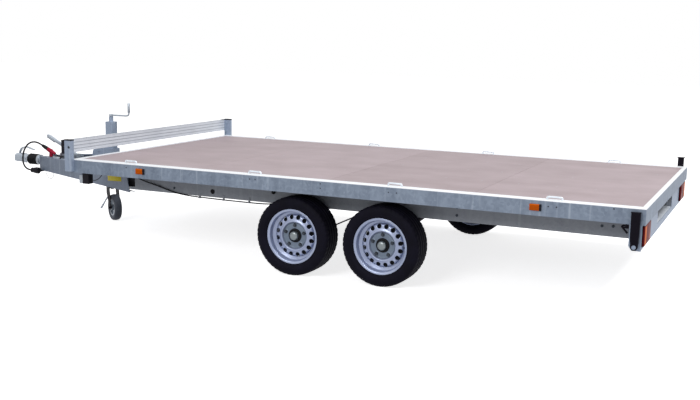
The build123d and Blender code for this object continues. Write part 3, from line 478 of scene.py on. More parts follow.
def softBlock(low, high, edge, steps=3):
    # A box with ball-rounded edges: each corner's point plus edge times a direction.
    low, high = np.asarray(low, float), np.asarray(high, float)
    middle, reach = (low + high) / 2, (high - low) / 2
    quarter = np.linspace(0, np.pi / 2, steps + 1)
    lat = np.concatenate([quarter - np.pi / 2, quarter])
    latSign = np.repeat([-1, 1], steps + 1)
    lon = np.concatenate([quarter + k * np.pi / 2 for k in range(4)])
    lonX = np.repeat([1, -1, -1, 1], steps + 1)
    lonY = np.repeat([1, 1, -1, -1], steps + 1)
    x = lonX * (reach[0] - edge) + edge * np.cos(lat)[:, None] * np.cos(lon)
    y = lonY * (reach[1] - edge) + edge * np.cos(lat)[:, None] * np.sin(lon)
    z = (latSign * (reach[2] - edge) + edge * np.sin(lat))[:, None] + 0 * x
    points = np.stack([x, y, z], -1)
    pole = np.zeros((1, len(lon), 3))
    points = np.concatenate([pole - [0, 0, reach[2]], points, pole + [0, 0, reach[2]]])
    return gridSurface(points + middle, closeV=True)


def moved(surface, offset):
    # A surface shifted by an offset.
    verts, quads = surface
    return verts + np.asarray(offset, float), quads


def spun(points, angle, plane=(0, 1)):
    # Points turned about the origin in the plane of two axes, the first towards the second.
    i, j = plane
    turn = np.eye(3)
    turn[i, i] = turn[j, j] = np.cos(angle)
    turn[j, i], turn[i, j] = np.sin(angle), -np.sin(angle)
    return points @ turn.T


def placed(surface, origin, outward=(0, 0, 1)):
    # Moves a surface so that its local Z points outward from an origin.
    verts, quads = surface
    turn = np.array(Vector(outward).to_track_quat("Z", "Y").to_matrix())
    return verts @ turn.T + np.asarray(origin, float), quads


def bothSides(surfaces):
    # The surfaces, and the same again on the trailer's other side.
    return list(surfaces) + [(verts * [1, -1, 1], quads[:, ::-1]) for verts, quads in surfaces]


def hexHead(across, height, flange):
    # Bolt head: a round flange, six flats and a chamfered top; each row is radius, flatness, height.
    angle = roundAngles(36)
    flats = 0.5 / np.cos((angle + np.pi / 6) % (np.pi / 3) - np.pi / 6)
    rows = np.array([(0, 0, 0), (flange, 0, 0), (flange, 0, 0.16), (across, 1, 0.26), (across, 1, 0.86),
                     (across * 0.95, 0, 1.0), (0, 0, 1.0)])
    size = rows[:, :1] * (rows[:, 1:2] * flats + (1 - rows[:, 1:2]) * 0.5)
    points = np.stack([size * np.cos(angle), size * np.sin(angle), rows[:, 2:] * height + 0 * angle], -1)
    return gridSurface(points, closeV=True)


def rivet(width, height):
    # A domed head: the height falls with the square of the distance from the middle.
    r = np.array([0, 0.3, 0.55, 0.75, 0.9, 1.0, 1.0])
    rise = np.array([*(1 - r[:6] ** 2 * 0.75), 0.0])
    return turnedSurface(np.stack([r * width / 2, rise * height], -1), 20)


def makePiece(name, surfaces, slot, skin=None, body="chassis", replaced=(), crease=38):
    # Joins surfaces in one mesh in metres, welds seams and poles, turns the faces outwards. Its
    # finish is its slot's, unless another skin is named.
    counts = np.cumsum([0] + [len(verts) for verts, quads in surfaces])
    points = np.vstack([verts for verts, quads in surfaces]) * mm + [tailX, 0, 0]
    faces = np.vstack([quads + start for (verts, quads), start in zip(surfaces, counts)])
    mesh = bpy.data.meshes.new(name)
    mesh.from_pydata(points, [], faces)
    work = bmesh.new()
    work.from_mesh(mesh)
    bmesh.ops.remove_doubles(work, verts=work.verts, dist=weldDistance)
    bmesh.ops.recalc_face_normals(work, faces=work.faces)
    work.to_mesh(mesh)
    work.free()
    mesh.shade_smooth()
    mesh.set_sharp_from_angle(angle=np.radians(crease))
    mesh.materials.append(finishes[skin or slot])
    piece = bpy.data.objects.new(name, mesh)
    bpy.context.scene.collection.objects.link(piece)
    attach(piece, body)
    if replaced:
        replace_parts(piece, *replaced)


# Wheels

wheelSpec = {"axles": {"front": 2237, "rear": 1610}, "plane": 963, "centre": 262.5, "steps": 192,
             "bore": 47, "face": 85, "metal": 3.5, "vents": 16, "ventRadius": 14.9, "ventCircle": 125.6,
             "ventBand": (109.6, 141.1), "ventRoll": (1.6, 0.12), "weld": 141.75,
             "bolts": 5, "boltCircle": 70, "boltHead": (19, 13, 25), "boltSeat": 36.6,
             "boltPad": (13, 3.0, 1.1),  # reach, rise and softness of the raised seat round a bolt
             "grooves": (-52, -18, 18, 52), "grooveWidth": 9, "grooveDepth": 6, "grooveSoft": 0.75,
             "slots": 48, "slotBand": (60, 92), "slotDepth": 3.2, "slotSoft": 1.2, "slotSlant": 0.02,
             "slotShare": (0.13, 0.025),  # half a slot's width and its softness, as shares of the step
             "sideRibs": ((0.7, 240, 1.4), (0.9, 197, 2.0)),  # height, radius and softness of each
             "valve": (153, 0, 47), "valveLean": (0.35, 0, 1)}

# Outlines in millimetres: (radius, outwards along the axle), but the tyre's are (across, radius)
wheelLines = {
    "tyre": [(70.4, 168), (74, 176), (79.5, 183.6), (86, 187), (91, 190), (93.5, 196), (97.5, 204),
             (99.4, 214), (99.8, 223), (98.6, 234), (95.5, 243), (92.5, 247.5), (90.5, 252), (86, 256.5),
             (79, 259.6), (62, 261.4), (30, 262.2), (0, 262.4)],
    "tyreInside": [(-70.4, 168), (-55, 170), (-84, 212), (-78, 244), (0, 246), (78, 244), (84, 212),
                   (55, 170)],
    "rim": [(182.4, 83.2), (182.6, 81.4), (180.5, 80.2), (174, 79), (170, 75), (168, 70), (167.4, 62),
            (166.8, 44), (160, 38), (148, 30), (145.6, 24), (145.6, -28), (148, -36), (160, -46),
            (166.8, -52), (167.4, -64), (168, -70), (170, -76), (174, -79), (180.5, -80.2), (182.6, -82),
            (181, -83.8), (174, -82.6), (167.4, -80), (164.6, -72), (163.4, -54), (157, -48), (145, -38),
            (141.8, -28), (141.8, 24), (144.8, 32), (157, 40), (163.4, 46), (164, 64), (164.6, 72),
            (167, 79), (173, 82.6), (180.5, 84)],
    "disc": [(44, 34), (56, 34), (70, 34), (80, 34.2), (84.5, 37.4), (88.5, 44.6), (92.5, 49.4),
             (97, 50.6), (102, 49.2), (107.5, 46.6), (114, 45.4), (126, 43.8), (133, 41.2), (137.4, 37),
             (140.2, 30), (141.4, 20), (141.8, 8)],
    "cap": [(0, 20), (30, 20), (30, 55), (28.8, 59.4), (25, 63.2), (17.5, 66.3), (8, 67.7), (0, 68)],
    "collar": [(30.2, 22), (46, 22), (46, 37), (45, 40.4), (42, 42.8), (36, 43.4), (32.4, 41.6), (31, 38)],
    "valve": [(0, -22), (4.2, -22), (4.2, -6), (3, 4), (2.8, 14), (0, 14)],
    "drum": [(22.05, -32), (112, -32), (112, 2), (139.4, 3), (139.4, 7), (112, 9), (112, 18), (109, 23),
             (98, 29.6), (46.2, 29.6), (46.2, 21), (22.05, 21)],
}


def tyreSurface(spec):
    # Outer skin: radius over the section's width, less the grooves and the slanted shoulder slots.
    outer = softLine(wheelLines["tyre"], 64)
    outer = np.vstack([outer, (outer[:-1] * [-1, 1])[::-1]])
    across, radius = outer[:, :1], outer[:, 1:]
    apart = np.abs(across)
    angle = roundAngles(288)
    cut = sum(fade(np.abs(across - groove) - spec["grooveWidth"] / 2, spec["grooveSoft"])
              for groove in spec["grooves"])
    cut = np.clip(cut, 0, 1)
    (low, high), soft = spec["slotBand"], spec["slotSoft"]
    shoulder = fade(low - apart, soft) * fade(apart - high, soft)
    phase = (angle * spec["slots"] / (2 * np.pi) + apart * spec["slotSlant"]) % 1.0
    half, soft = spec["slotShare"]
    slots = fade(np.abs(phase - 0.5) - half, soft)
    tread = cut * spec["grooveDepth"] + shoulder * slots * spec["slotDepth"] * (1 - cut)
    ribs = sum(rise * np.exp(-((radius - middle) / soft) ** 2) for rise, middle, soft in spec["sideRibs"])
    size = radius - tread
    wide = across - np.sign(across) * ribs
    skin = np.stack([size * np.cos(angle), size * np.sin(angle), wide + 0 * angle], -1)
    inside = turnedPoints(np.array(wheelLines["tyreInside"])[:, ::-1], len(angle))
    return gridSurface(np.concatenate([skin, inside[1:]]), closeU=True, closeV=True)


def discHeight(radius):
    # Height of the pressed disc's front over its radius: bolt face, raised ring, vent band, outer bend.
    shape = softLine(wheelLines["disc"], 240)
    order = np.argsort(shape[:, 0])
    return np.interp(radius, shape[order, 0], shape[order, 1])


def boltPlaces(spec):
    # Angles of the wheel bolts, the first one at the top.
    return roundAngles(spec["bolts"]) + np.pi / 2


def discRing(spec, radii, capFirst, whole=False):
    # A plain ring of the disc: front and back over some radii, raised a little round each bolt.
    angle = roundAngles(spec["steps"])
    reach, rise, soft = spec["boltPad"]
    front = discHeight(radii)[:, None] + 0 * angle
    x, y = radii[:, None] * np.cos(angle), radii[:, None] * np.sin(angle)
    for hole in boltPlaces(spec):
        near = np.hypot(x - spec["boltCircle"] * np.cos(hole), y - spec["boltCircle"] * np.sin(hole))
        front = front + rise * fade(near - reach, soft)
    top = np.stack([x, y, front], -1)
    under = top - [0, 0, spec["metal"]]
    rows = [under[::-1], top] if capFirst else [top, under[::-1]]
    return gridSurface(np.concatenate(rows), closeU=whole, closeV=True)


def ventPatch(spec):
    # One vent in its sector of the disc: straight lines run from the vent's edge, s = 0, to the
    # sector's outline, s = 1, and the front sinks towards the edge as a bell curve of s.
    low, high = spec["ventBand"]
    sector = 2 * np.pi / spec["vents"]
    sideways = np.linspace(-sector / 2, sector / 2, spec["steps"] // spec["vents"] + 1)
    edge = np.linspace(low, high, 7)
    outline = np.vstack([
        np.stack([0 * sideways + low, sideways], -1)[:-1],
        np.stack([edge, 0 * edge + sector / 2], -1)[:-1],
        np.stack([0 * sideways + high, sideways[::-1]], -1)[:-1],
        np.stack([edge[::-1], 0 * edge - sector / 2], -1)[:-1]])
    reach, turn = outline.T
    flat = np.stack([reach * np.cos(turn), reach * np.sin(turn)], -1)
    centre = np.array([spec["ventCircle"], 0.0])
    ray = flat - centre
    hole = centre + spec["ventRadius"] * ray / np.linalg.norm(ray, axis=1)[:, None]
    s = np.array([0, 0.06, 0.14, 0.25, 0.5, 0.75, 1.0])[:, None, None]
    sheet = hole * (1 - s) + flat * s
    drop, soft = spec["ventRoll"]
    height = discHeight(np.hypot(sheet[..., 0], sheet[..., 1])) - drop * np.exp(-(s[..., 0] / soft) ** 2)
    front = np.concatenate([sheet, height[..., None]], -1)
    return np.concatenate([(front - [0, 0, spec["metal"]])[::-1], front])


def discSurfaces(spec):
    # Plain rings inside and outside the vents, and a patch round each vent, welded edge to edge.
    low, high = spec["ventBand"]
    inner = discRing(spec, np.linspace(spec["face"], low, 16), True)
    outer = discRing(spec, np.linspace(high, spec["weld"], 5), False)
    patch = ventPatch(spec)
    turns = (np.arange(spec["vents"]) + 0.5) * 2 * np.pi / spec["vents"]
    return [inner, outer] + [gridSurface(spun(patch, turn), closeV=True) for turn in turns]


def dressWheel(place, hand, side, spec):
    # Tyre, painted wheel, its bolt face in a darker paint that stands for painted shade, grease cap, bolts,
    # black collar and valve, iron drum.
    centre = (spec["axles"][place], side * spec["plane"], spec["centre"])
    label = place.capitalize() + hand.capitalize()
    body = f"wheel_{place}_{hand}_body"

    def put(surfaces):
        # Local Z becomes the wheel's outward axle.
        return [placed(surface, centre, (0, side, 0)) for surface in surfaces]

    makePiece("tyre" + label, put([tyreSurface(spec)]), "tyre", None, body, [f"tyre_{place}_{hand}"],
              crease=50)
    rim = turnedSurface(softLine(wheelLines["rim"], 110), spec["steps"], loop=True)
    makePiece("wheel" + label, put([rim] + discSurfaces(spec)), "wheel_paint", None, body,
              [f"wheel_{place}_{hand}"], crease=50)
    face = discRing(spec, np.linspace(spec["bore"], spec["face"], 24), True, whole=True)
    makePiece("shadedBoltFace" + label, put([face]), "wheel_paint", "shadedBoltFace", body, crease=50)
    cap = turnedSurface(wheelLines["cap"], 48)
    makePiece("hubCap" + label, put([cap]), "zinc", "greyCap", body)
    bolts = [moved(hexHead(*spec["boltHead"]),
                   (spec["boltCircle"] * np.cos(angle), spec["boltCircle"] * np.sin(angle), spec["boltSeat"]))
             for angle in boltPlaces(spec)]
    makePiece("wheelBolts" + label, put(bolts), "zinc", "dullBolt", body)
    collar = turnedSurface(wheelLines["collar"], 64, loop=True)
    valve = placed(turnedSurface(wheelLines["valve"], 16), spec["valve"], spec["valveLean"])
    makePiece("hubRing" + label, put([collar, valve]), "rubber", None, body)
    drum = turnedSurface(wheelLines["drum"], 96, loop=True)
    makePiece("drum" + label, put([drum]), "galvanised_dark", "castIron", body)


for place in ("front", "rear"):
    for hand, side in (("left", 1), ("right", -1)):
        dressWheel(place, hand, side, wheelSpec)
print("stage: wheels")


# Bolts, rivets, grommets and deck screws; a head is (across, height, flange) or (width, height)

rivets = {"head": (9, 2.4), "face": 1075,
          "places": [(3534, 628), (2539, 625), (2498, 625), (2020, 635), (2020, 606), (1550, 619),
                     (1496, 619), (550, 620), (502, 620), (177, 640)]}
bolts = {
    "beam": {"head": (13, 6, 18), "outward": (0, 1, 0), "places": [
        (279, 830, 491), (214, 830, 495), (1180, 830, 520), (1180, 830, 470), (3300, 830, 520),
        (3300, 830, 470)]},
    "saddle": {"head": (18, 8, 26), "outward": (0, 0, 1), "places": [(5105, 56, 482), (5185, 50, 482)]},
    "hanger": {"head": (19, 8, 28), "outward": (0, 0, -1), "places": [
        (1680, 812, 425), (1780, 812, 425), (2307, 812, 425), (2407, 812, 425)]},
    "post": {"head": (13, 4.4, 18), "outward": (0, 1, 0), "places": [(4012, 1105, 742)]},
}
grommets = {"hole": (2980, 830, 471), "ring": (13, 4), "plug": (24, 2.0), "boss": (2492, 830, 508),
            "bossHead": (22, 12, 30)}
screws = {"rows": (972, 480, 0), "first": 142, "step": 247, "count": 16, "seat": 651.95, "head": (11, 0.5)}


def fixingSurfaces():
    # A domed rivet or a hexagon head at each place, pointing out of its face.
    parts = [placed(rivet(*rivets["head"]), (x, rivets["face"], z), (0, 1, 0)) for x, z in rivets["places"]]
    for spec in bolts.values():
        parts += [placed(hexHead(*spec["head"]), place, spec["outward"]) for place in spec["places"]]
    return parts


def screwSurfaces(spec):
    # Countersunk heads set flush in the boards, drawn 0.5 mm proud.
    parts = []
    for row in spec["rows"]:
        for k in range(spec["count"]):
            head = placed(rivet(*spec["head"]), (spec["first"] + k * spec["step"], row, spec["seat"]))
            parts += bothSides([head]) if row else [head]
    return parts


def grommetSurfaces(spec):
    # A round bead with a plug in the beam's hole, and a moulded boss further back.
    radius, thick = spec["ring"]
    bead = turnedSurface(ring(thick, 12) + [radius, 0], 40, loop=True)
    return [placed(bead, spec["hole"], (0, 1, 0)), placed(rivet(*spec["plug"]), spec["hole"], (0, 1, 0)),
            placed(hexHead(*spec["bossHead"]), spec["boss"], (0, 1, 0))]


makePiece("boltHeads", bothSides(fixingSurfaces()), "zinc", "dullBolt")
makePiece("deckScrews", screwSurfaces(screws), "zinc")
makePiece("beamGrommets", bothSides(grommetSurfaces(grommets)), "rubber")

# The bare yellow plate on the arm's web; the web runs at 26.81 degrees to the trailer

plate = {"size": (229, 37), "thick": 0.8, "middle": (3913, 477.5), "armFront": (5210, 62), "turn": 26.81,
         "tilt": 5.2}


def plateSurface(spec):
    # A thin sheet, tilted in its own plane, then laid on the web, whose place follows its turn.
    wide, tall = spec["size"]
    verts, quads = softBlock((-wide / 2, -tall / 2, 0.02), (wide / 2, tall / 2, spec["thick"]), 0.3)
    a = np.radians(spec["turn"])
    (x, z), (frontX, frontY) = spec["middle"], spec["armFront"]
    y = frontY + (frontX - x) * np.tan(a)
    return placed((spun(verts, np.radians(spec["tilt"])), quads), (x, y, z), (np.sin(a), np.cos(a), 0))


makePiece("yellowPlate", [plateSurface(plate)], "black_plastic", "yellowFilm")

# Side markers: ribbed amber lens with a dark socket at its rear end

marker = {"places": (625, 3415), "z": 609, "face": 1075, "half": (35, 20), "depth": 12, "socket": 11,
          "back": 3, "ribs": 8, "ribSpan": (3, 5), "ribRoot": 9, "ribMargin": 4, "ribShare": 0.6}


def markerSurfaces(spec):
    # Soft-edged blocks: a lens with thin ribs on its face, a socket and a back plate.
    lens, base = [], []
    (reach, tall), z, y, depth = spec["half"], spec["z"], spec["face"], spec["depth"]
    for x in spec["places"]:
        rear, front = x - reach, x + reach
        start = rear + spec["socket"]
        lens.append(softBlock((start, y, z - tall + 1), (front, y + depth - 1, z + tall - 1), 3.5, 4))
        first, last = spec["ribSpan"]
        step = (front - last - start) / spec["ribs"]
        half = tall - spec["ribMargin"]
        for k in range(spec["ribs"]):
            left = start + first + k * step
            low = (left, y + spec["ribRoot"], z - half)
            lens.append(softBlock(low, (left + step * spec["ribShare"], y + depth, z + half), 0.9))
        base.append(softBlock((rear, y, z - tall), (start + 0.5, y + depth - 0.5, z + tall), 2.5))
        base.append(softBlock((rear, y + 0.01, z - tall), (front, y + spec["back"], z + tall), 1.2))
    return lens, base


lens, base = markerSurfaces(marker)
makePiece("markerLenses", bothSides(lens), "amber_lens", replaced=["side_markers"])
makePiece("markerSockets", bothSides(base), "black_plastic")

# Rear lamps: ribbed red lens with an amber outer part, a raised triangle low down, a black base

rearLamp = {"x": (4.6, 20), "y": (790, 1040), "z": (429, 551), "edge": 7, "amber": (962, 1030),
            "rib": 7.5, "ribTall": 4.8, "ribMargin": (9, 12), "redProud": 0.4, "amberProud": 0.6,
            "root": 3, "triangle": (826, 460, 30), "triangleRound": 3, "lip": 1.5}


def lampRibs(spec, y0, y1, proud):
    # Thin raised bars across one field of the lens.
    face, (z0, z1), (below, above) = spec["x"][0], spec["z"], spec["ribMargin"]
    low = np.arange(z0 + below, z1 - above, spec["rib"])
    return [softBlock((face - proud, y0, z), (face + spec["root"], y1, z + spec["ribTall"]), 0.7)
            for z in low]


def lampSurfaces(spec):
    # Soft-edged blocks with ribs; the triangle is a rounded outline that steps in to its
    # middle, each row as (X, share of the outline's size).
    (x0, x1), (y0, y1), (z0, z1) = spec["x"], spec["y"], spec["z"]
    (amber0, amber1), root = spec["amber"], spec["root"]
    body = [softBlock((x0, y0, z0), (x1, y1, z1), spec["edge"], 5)]
    body += lampRibs(spec, y0 + 9, amber0 - 3, spec["redProud"])
    amber = [softBlock((x0 - 0.2, amber0, z0 + 7), (x0 + root, amber1, z1 - 7), 1.4)]
    amber += lampRibs(spec, amber0 + 3, amber1 - 3, spec["amberProud"])
    y, z, size = spec["triangle"]
    soft = spec["triangleRound"]
    rounded = np.array([(y + size * np.cos(a) + soft * np.cos(b), z + size * np.sin(a) + soft * np.sin(b))
                        for a in np.radians([90, 210, 330]) for b in np.linspace(a - 1, a + 1, 5)])
    rows = np.array([(x0 + root, 1.0), (x0 - 0.4, 1.0), (x0 - 0.6, 0.94), (x0 - 0.6, 0.0)])
    flat = rounded[None] * rows[:, 1:, None] + np.array([y, z]) * (1 - rows[:, 1:, None])
    prism = np.concatenate([np.repeat(rows[:, :1, None], len(rounded), 1), flat], -1)
    lip = spec["lip"]
    cover = [softBlock((x1 - root, y0 - lip, z0 - lip), (x1 - 0.02, y1 + lip, z1 + lip), 1.2)]
    return body, amber, [gridSurface(prism, closeV=True)], cover


body, amber, triangle, cover = lampSurfaces(rearLamp)
makePiece("rearLampRed", bothSides(body), "red_lens", replaced=["rear_lamps"])
makePiece("rearLampAmber", bothSides(amber), "amber_lens")
makePiece("rearLampTriangle", bothSides(triangle), "red_lens", "reflector")
makePiece("rearLampBase", bothSides(cover), "black_plastic")

# A dark plate of painted shade in the opening between the arm's end and the long beam's end, and a
# near-white strip of painted light on the tray's floor: two corners and an edge each

beamEndShade = {"low": (3604, 775.6, 436), "high": (3741, 779.7, 552), "edge": 1.0}
trayLightStrip = {"low": (23.6, -369, 451.9), "high": (420, 369, 453.4), "edge": 0.6}
makePiece("beamEndPaintedShade", bothSides([softBlock(**beamEndShade)]), "galvanised_dark", "shadedSteel")
# The near-white strip on the tray's floor is painted light.
makePiece("trayPaintedLight", [softBlock(**trayLightStrip)], "galvanised_dark", "galvanisedBright")

# Red strain relief that holds the light cable's boot on the arm

relief = {"start": (5094, 86.4, 561.6), "end": (5022, 79.2, 523.8),
          "foot": ((5050, 73, 497.7), (5076, 95, 548)),
          "footEdge": 4, "body": [(9, 0), (16.5, 0), (17.5, 3), (17.5, 26), (19, 30), (19, 42), (16, 47)],
          "tip": [(13, -8), (11, 0), (5, 0)]}


def reliefSurfaces(spec):
    # A smooth profile turned about the line from start to end, on a soft-edged foot.
    a, b = np.array(spec["start"], float), np.array(spec["end"], float)
    length = np.linalg.norm(b - a)
    profile = softLine(spec["body"] + [(radius, length + along) for radius, along in spec["tip"]], 60)
    return [placed(turnedSurface(profile, 48, loop=True), a, b - a),
            softBlock(*spec["foot"], spec["footEdge"])]


makePiece("cableRelief", reliefSurfaces(relief), "red_plastic", replaced=["cable_clip"])

# Clips that hold the lead under the left long beam

leadClips = {"places": (3083, 2887, 2681), "y": 838, "z": 421.5, "bore": 4.2, "round": 6.4, "half": 7,
             "strap": (829.6, 833, 3, 452), "rivet": (9, 2.4), "rivetZ": 445}


def leadClipSurfaces(spec):
    # A turned band round the lead, a flat strap up to the beam and a domed rivet.
    parts = []
    bore, outer, half = spec["bore"], spec["round"], spec["half"]
    near, far, lift, top = spec["strap"]
    for x in spec["places"]:
        band = turnedSurface([(bore, -half), (outer, -half), (outer, half), (bore, half)], 24, loop=True)
        parts.append(placed(band, (x, spec["y"], spec["z"]), (1, 0, 0)))
        parts.append(softBlock((x - half, near, spec["z"] + lift), (x + half, far, top), 1.0))
        parts.append(placed(rivet(*spec["rivet"]), (x, far, spec["rivetZ"]), (0, 1, 0)))
    return parts


makePiece("leadClips", leadClipSurfaces(leadClips), "galvanised_dark")

# Spring locks of the prop stands, with a bent handle on the pin

lock = {"low": (92, 1056, 533), "high": (110, 1070, 558.8), "edge": 2.5, "y": 1063,
        "pin": 4.6, "pinX": (108, 130), "pinZ": 537,
        "handle": [(98, 546), (122, 549), (131, 541), (123, 533), (97, 506)], "bend": 5, "thick": 5.6}


def lockSurfaces(spec):
    # A soft-edged block, a straight round pin, and a round bar along a bent line.
    line = bentLine([(x, spec["y"], z) for x, z in spec["handle"]], spec["bend"], 6)
    shank = sweptSurface([(x, spec["y"], spec["pinZ"]) for x in spec["pinX"]], ring(spec["pin"], 16))
    handle = sweptSurface(line, ring(spec["thick"], 12), up=(0, 1, 0))
    return [softBlock(spec["low"], spec["high"], spec["edge"]), handle, shank]


makePiece("standLocks", bothSides(lockSurfaces(lock)), "black_steel", replaced=["lock_pins"])

# Overrun gaiter: five soft folds moulded in rubber round the drawtube

gaiter = {"start": 5271, "end": 5371, "folds": 5, "low": 37, "high": 47, "sharp": 1.3, "height": 452,
          "bore": 28}


def gaiterSurface(spec):
    # Radius = a raised cosine of the distance, sharpened so the crests are narrow.
    along = np.linspace(0, 1, 111)
    wave = (0.5 - 0.5 * np.cos(2 * np.pi * spec["folds"] * along)) ** spec["sharp"]
    radius = spec["low"] + (spec["high"] - spec["low"]) * wave
    reach = spec["start"] + (spec["end"] - spec["start"]) * along
    profile = np.stack([radius, reach], -1)
    closed = np.vstack([[spec["bore"], spec["start"]], profile, [spec["bore"], spec["end"]]])
    return placed(turnedSurface(closed, 72, loop=True), (0, 0, spec["height"]), (1, 0, 0))


makePiece("gaiter", [gaiterSurface(gaiter)], "rubber", replaced=["bellows"])

# Coupling: drawtube, pressed steel head open below, ball socket, neck bolts

coupling = {"height": 452, "neck": 5373, "nose": 5530, "ball": 5485, "round": 45, "half": 38, "wall": 5,
            "arch": 0.55,
            "top": [(5373, 33), (5400, 35), (5432, 43.5), (5470, 44.3), (5505, 42.5), (5520, 30), (5527, 17),
                    (5530, 5)],
            "low": [(5373, 33), (5415, 30), (5440, 26), (5470, 26), (5500, 24), (5520, 18), (5530, 10)],
            "tube": (27, 5000, 400), "socket": (25.3, 32), "skirt": [(25.3, -26), (29, -28), (32, -26)],
            "bolts": (5392, 5424), "boltHead": (17, 6, 24), "boltSink": 2.4, "boltRise": 4}


def headSurfaces(spec):
    # Each station's section is a superellipse arch on straight cheeks, doubled inwards by the wall;
    # the wall's two open ends are closed by a strip each.
    top, low = np.array(spec["top"], float), np.array(spec["low"], float)
    share = np.sin(np.linspace(0, np.pi / 2, 44))
    x = spec["neck"] + (spec["nose"] - spec["neck"]) * share
    past = np.clip(x - spec["ball"], 0, spec["round"] - 0.1)
    half = np.minimum(spec["half"], np.sqrt(spec["round"] ** 2 - past ** 2))
    rise, drop = np.interp(x, top[:, 0], top[:, 1]), np.interp(x, low[:, 0], low[:, 1])
    arch = roundedOblong(1, 1, spec["arch"], np.linspace(0, np.pi, 33))

    def loop(inset):
        wide, tall = np.maximum(half - inset, 1), np.maximum(rise - inset, 1)
        reach = (x - inset * share)[:, None] + 0 * arch[:, 0]
        section = np.stack([reach, wide[:, None] * arch[:, 0], tall[:, None] * arch[:, 1]], -1)
        left, right = section[:, :1].copy(), section[:, -1:].copy()
        left[..., 2] = right[..., 2] = -drop[:, None]
        return np.concatenate([left, section, right], 1)

    outer, inner = loop(0), loop(spec["wall"])
    wall = gridSurface(np.concatenate([outer, inner[:, ::-1]], 1), closeV=True)
    ends = [gridSurface(np.stack([outer[k], inner[k]])) for k in (0, -1)]
    return [moved(surface, (0, 0, spec["height"])) for surface in [wall] + ends]


def couplingSurfaces(spec):
    # The ball cup is a dome over the ball with a short straight skirt, open below.
    z = spec["height"]
    radius, start, length = spec["tube"]
    rod = turnedSurface([(0, 0), (radius, 0), (radius, length), (0, length)], 64)
    tube = placed(rod, (start, 0, z), (1, 0, 0))
    a = np.linspace(0, np.pi / 2, 13)
    dome = np.stack([np.sin(a), np.cos(a)], -1)
    bore, outer = spec["socket"]
    cup = turnedSurface(np.vstack([bore * dome, spec["skirt"], outer * dome[::-1]]), 64)
    bolts = [placed(hexHead(*spec["boltHead"]), (x, spec["half"] - spec["boltSink"], z + spec["boltRise"]),
                    (0, 1, 0)) for x in spec["bolts"]]
    return headSurfaces(spec) + [tube, placed(cup, (spec["ball"], 0, z))], bolts


head, neckBolts = couplingSurfaces(coupling)
makePiece("couplingHead", head, "galvanised", "galvanisedPale", replaced=["coupling_body"], crease=50)
makePiece("couplingBolts", bothSides(neckBolts), "zinc")

# Coupling's hand grip: places are counted from the head's nose and the drawtube's height

grip = {"line": [(-45, 44.5), (-54, 62), (-68, 82), (-95, 97.5), (-131, 100), (-170, 91), (-208, 79.5)],
        "width": 16, "thick": 5.2, "root": (0.45, 0.12), "tip": (0.15, 6, 0.35, 8)}


def gripSurface(spec):
    # A flat oval carried along a smooth line. Its width falls at the root as a bell curve, and its
    # width and thickness fall towards the tip as powers of the share of the way.
    line = softLine([(coupling["nose"] + x, 0, coupling["height"] + z) for x, z in spec["line"]], 60)
    oval = roundedOblong(spec["width"], spec["thick"], 0.6, roundAngles(28))
    t = np.linspace(0, 1, len(line))
    loss, soft = spec["root"]
    narrow, power, thin, late = spec["tip"]
    scale = np.stack([1 - loss * np.exp(-(t / soft) ** 2) - narrow * t ** power, 1 - thin * t ** late], -1)
    return sweptSurface(line, oval, scale)


makePiece("couplingGrip", [gripSurface(grip)], "zinc", replaced=["coupling_handle"])

# Handbrake lever: pressed bar that swells at its root, a black insert under the grip. Each station
# is (along, half width, half height, bow) from the pivot, before the lever is raised to its rest.

lever = {"pivot": (4840, 502), "rest": 27, "bore": 7.1, "boss": 20, "bossHalf": 12,
         "stations": [(14, 7, 17, 0), (40, 8, 20, 2.5), (90, 8, 19, 5), (150, 8, 17, 6), (210, 8, 15, 5),
                      (265, 9, 14, 2.5), (285, 13, 15.5, 1), (320, 14, 16.5, 0), (355, 13.4, 15, 0),
                      (370, 8, 9, 0.6)],
         "insert": {"low": (272, -11, -16.6), "high": (364, 11, -6), "edge": 3.6, "steps": 4}}


def leverSurfaces(spec):
    # A superellipse carried along the bowed line and sized by the stations, a turned boss and
    # a soft-edged insert, all turned about the pivot up to their rest.
    along, wide, high, bow = np.array(spec["stations"], float).T
    x = np.linspace(along[0], along[-1], 70)
    line = np.stack([x, 0 * x, np.interp(x, along, bow)], -1)
    scale = np.stack([np.interp(x, along, wide), np.interp(x, along, high)], -1)
    bar = sweptSurface(line, roundedOblong(1, 1, 0.5, roundAngles(28)), scale)
    sleeve = turnedSleeve(spec["bore"], spec["boss"], -spec["bossHalf"], spec["bossHalf"], 48)
    boss = placed(sleeve, (0, 0, 0), (0, 1, 0))
    insert = softBlock(**spec["insert"])
    pivotX, pivotZ = spec["pivot"]
    raised = [(spun(verts, np.radians(spec["rest"]), (0, 2)) + [pivotX, 0, pivotZ], quads)
              for verts, quads in (bar, boss, insert)]
    return raised[:2], raised[2:]


bar, insert = leverSurfaces(lever)
makePiece("brakeLever", bar, "galvanised", "galvanisedPale", "handbrake_body", ["handbrake_lever"], crease=50)
makePiece("brakeGrip", insert, "black_plastic", None, "handbrake_body")

# Jack crank: a round bar bent twice, with a sleeve that turns in the hand

crank = {"x": 4490, "z": 867, "turn": 188, "reach": 165, "rise": 105, "bar": 7, "bend": 24, "root": 10,
         "level": 11, "sleeve": 10.5, "sleeveZ": 37.5, "sleeveLength": 77, "boss": (16, 20), "bore": 8.1}


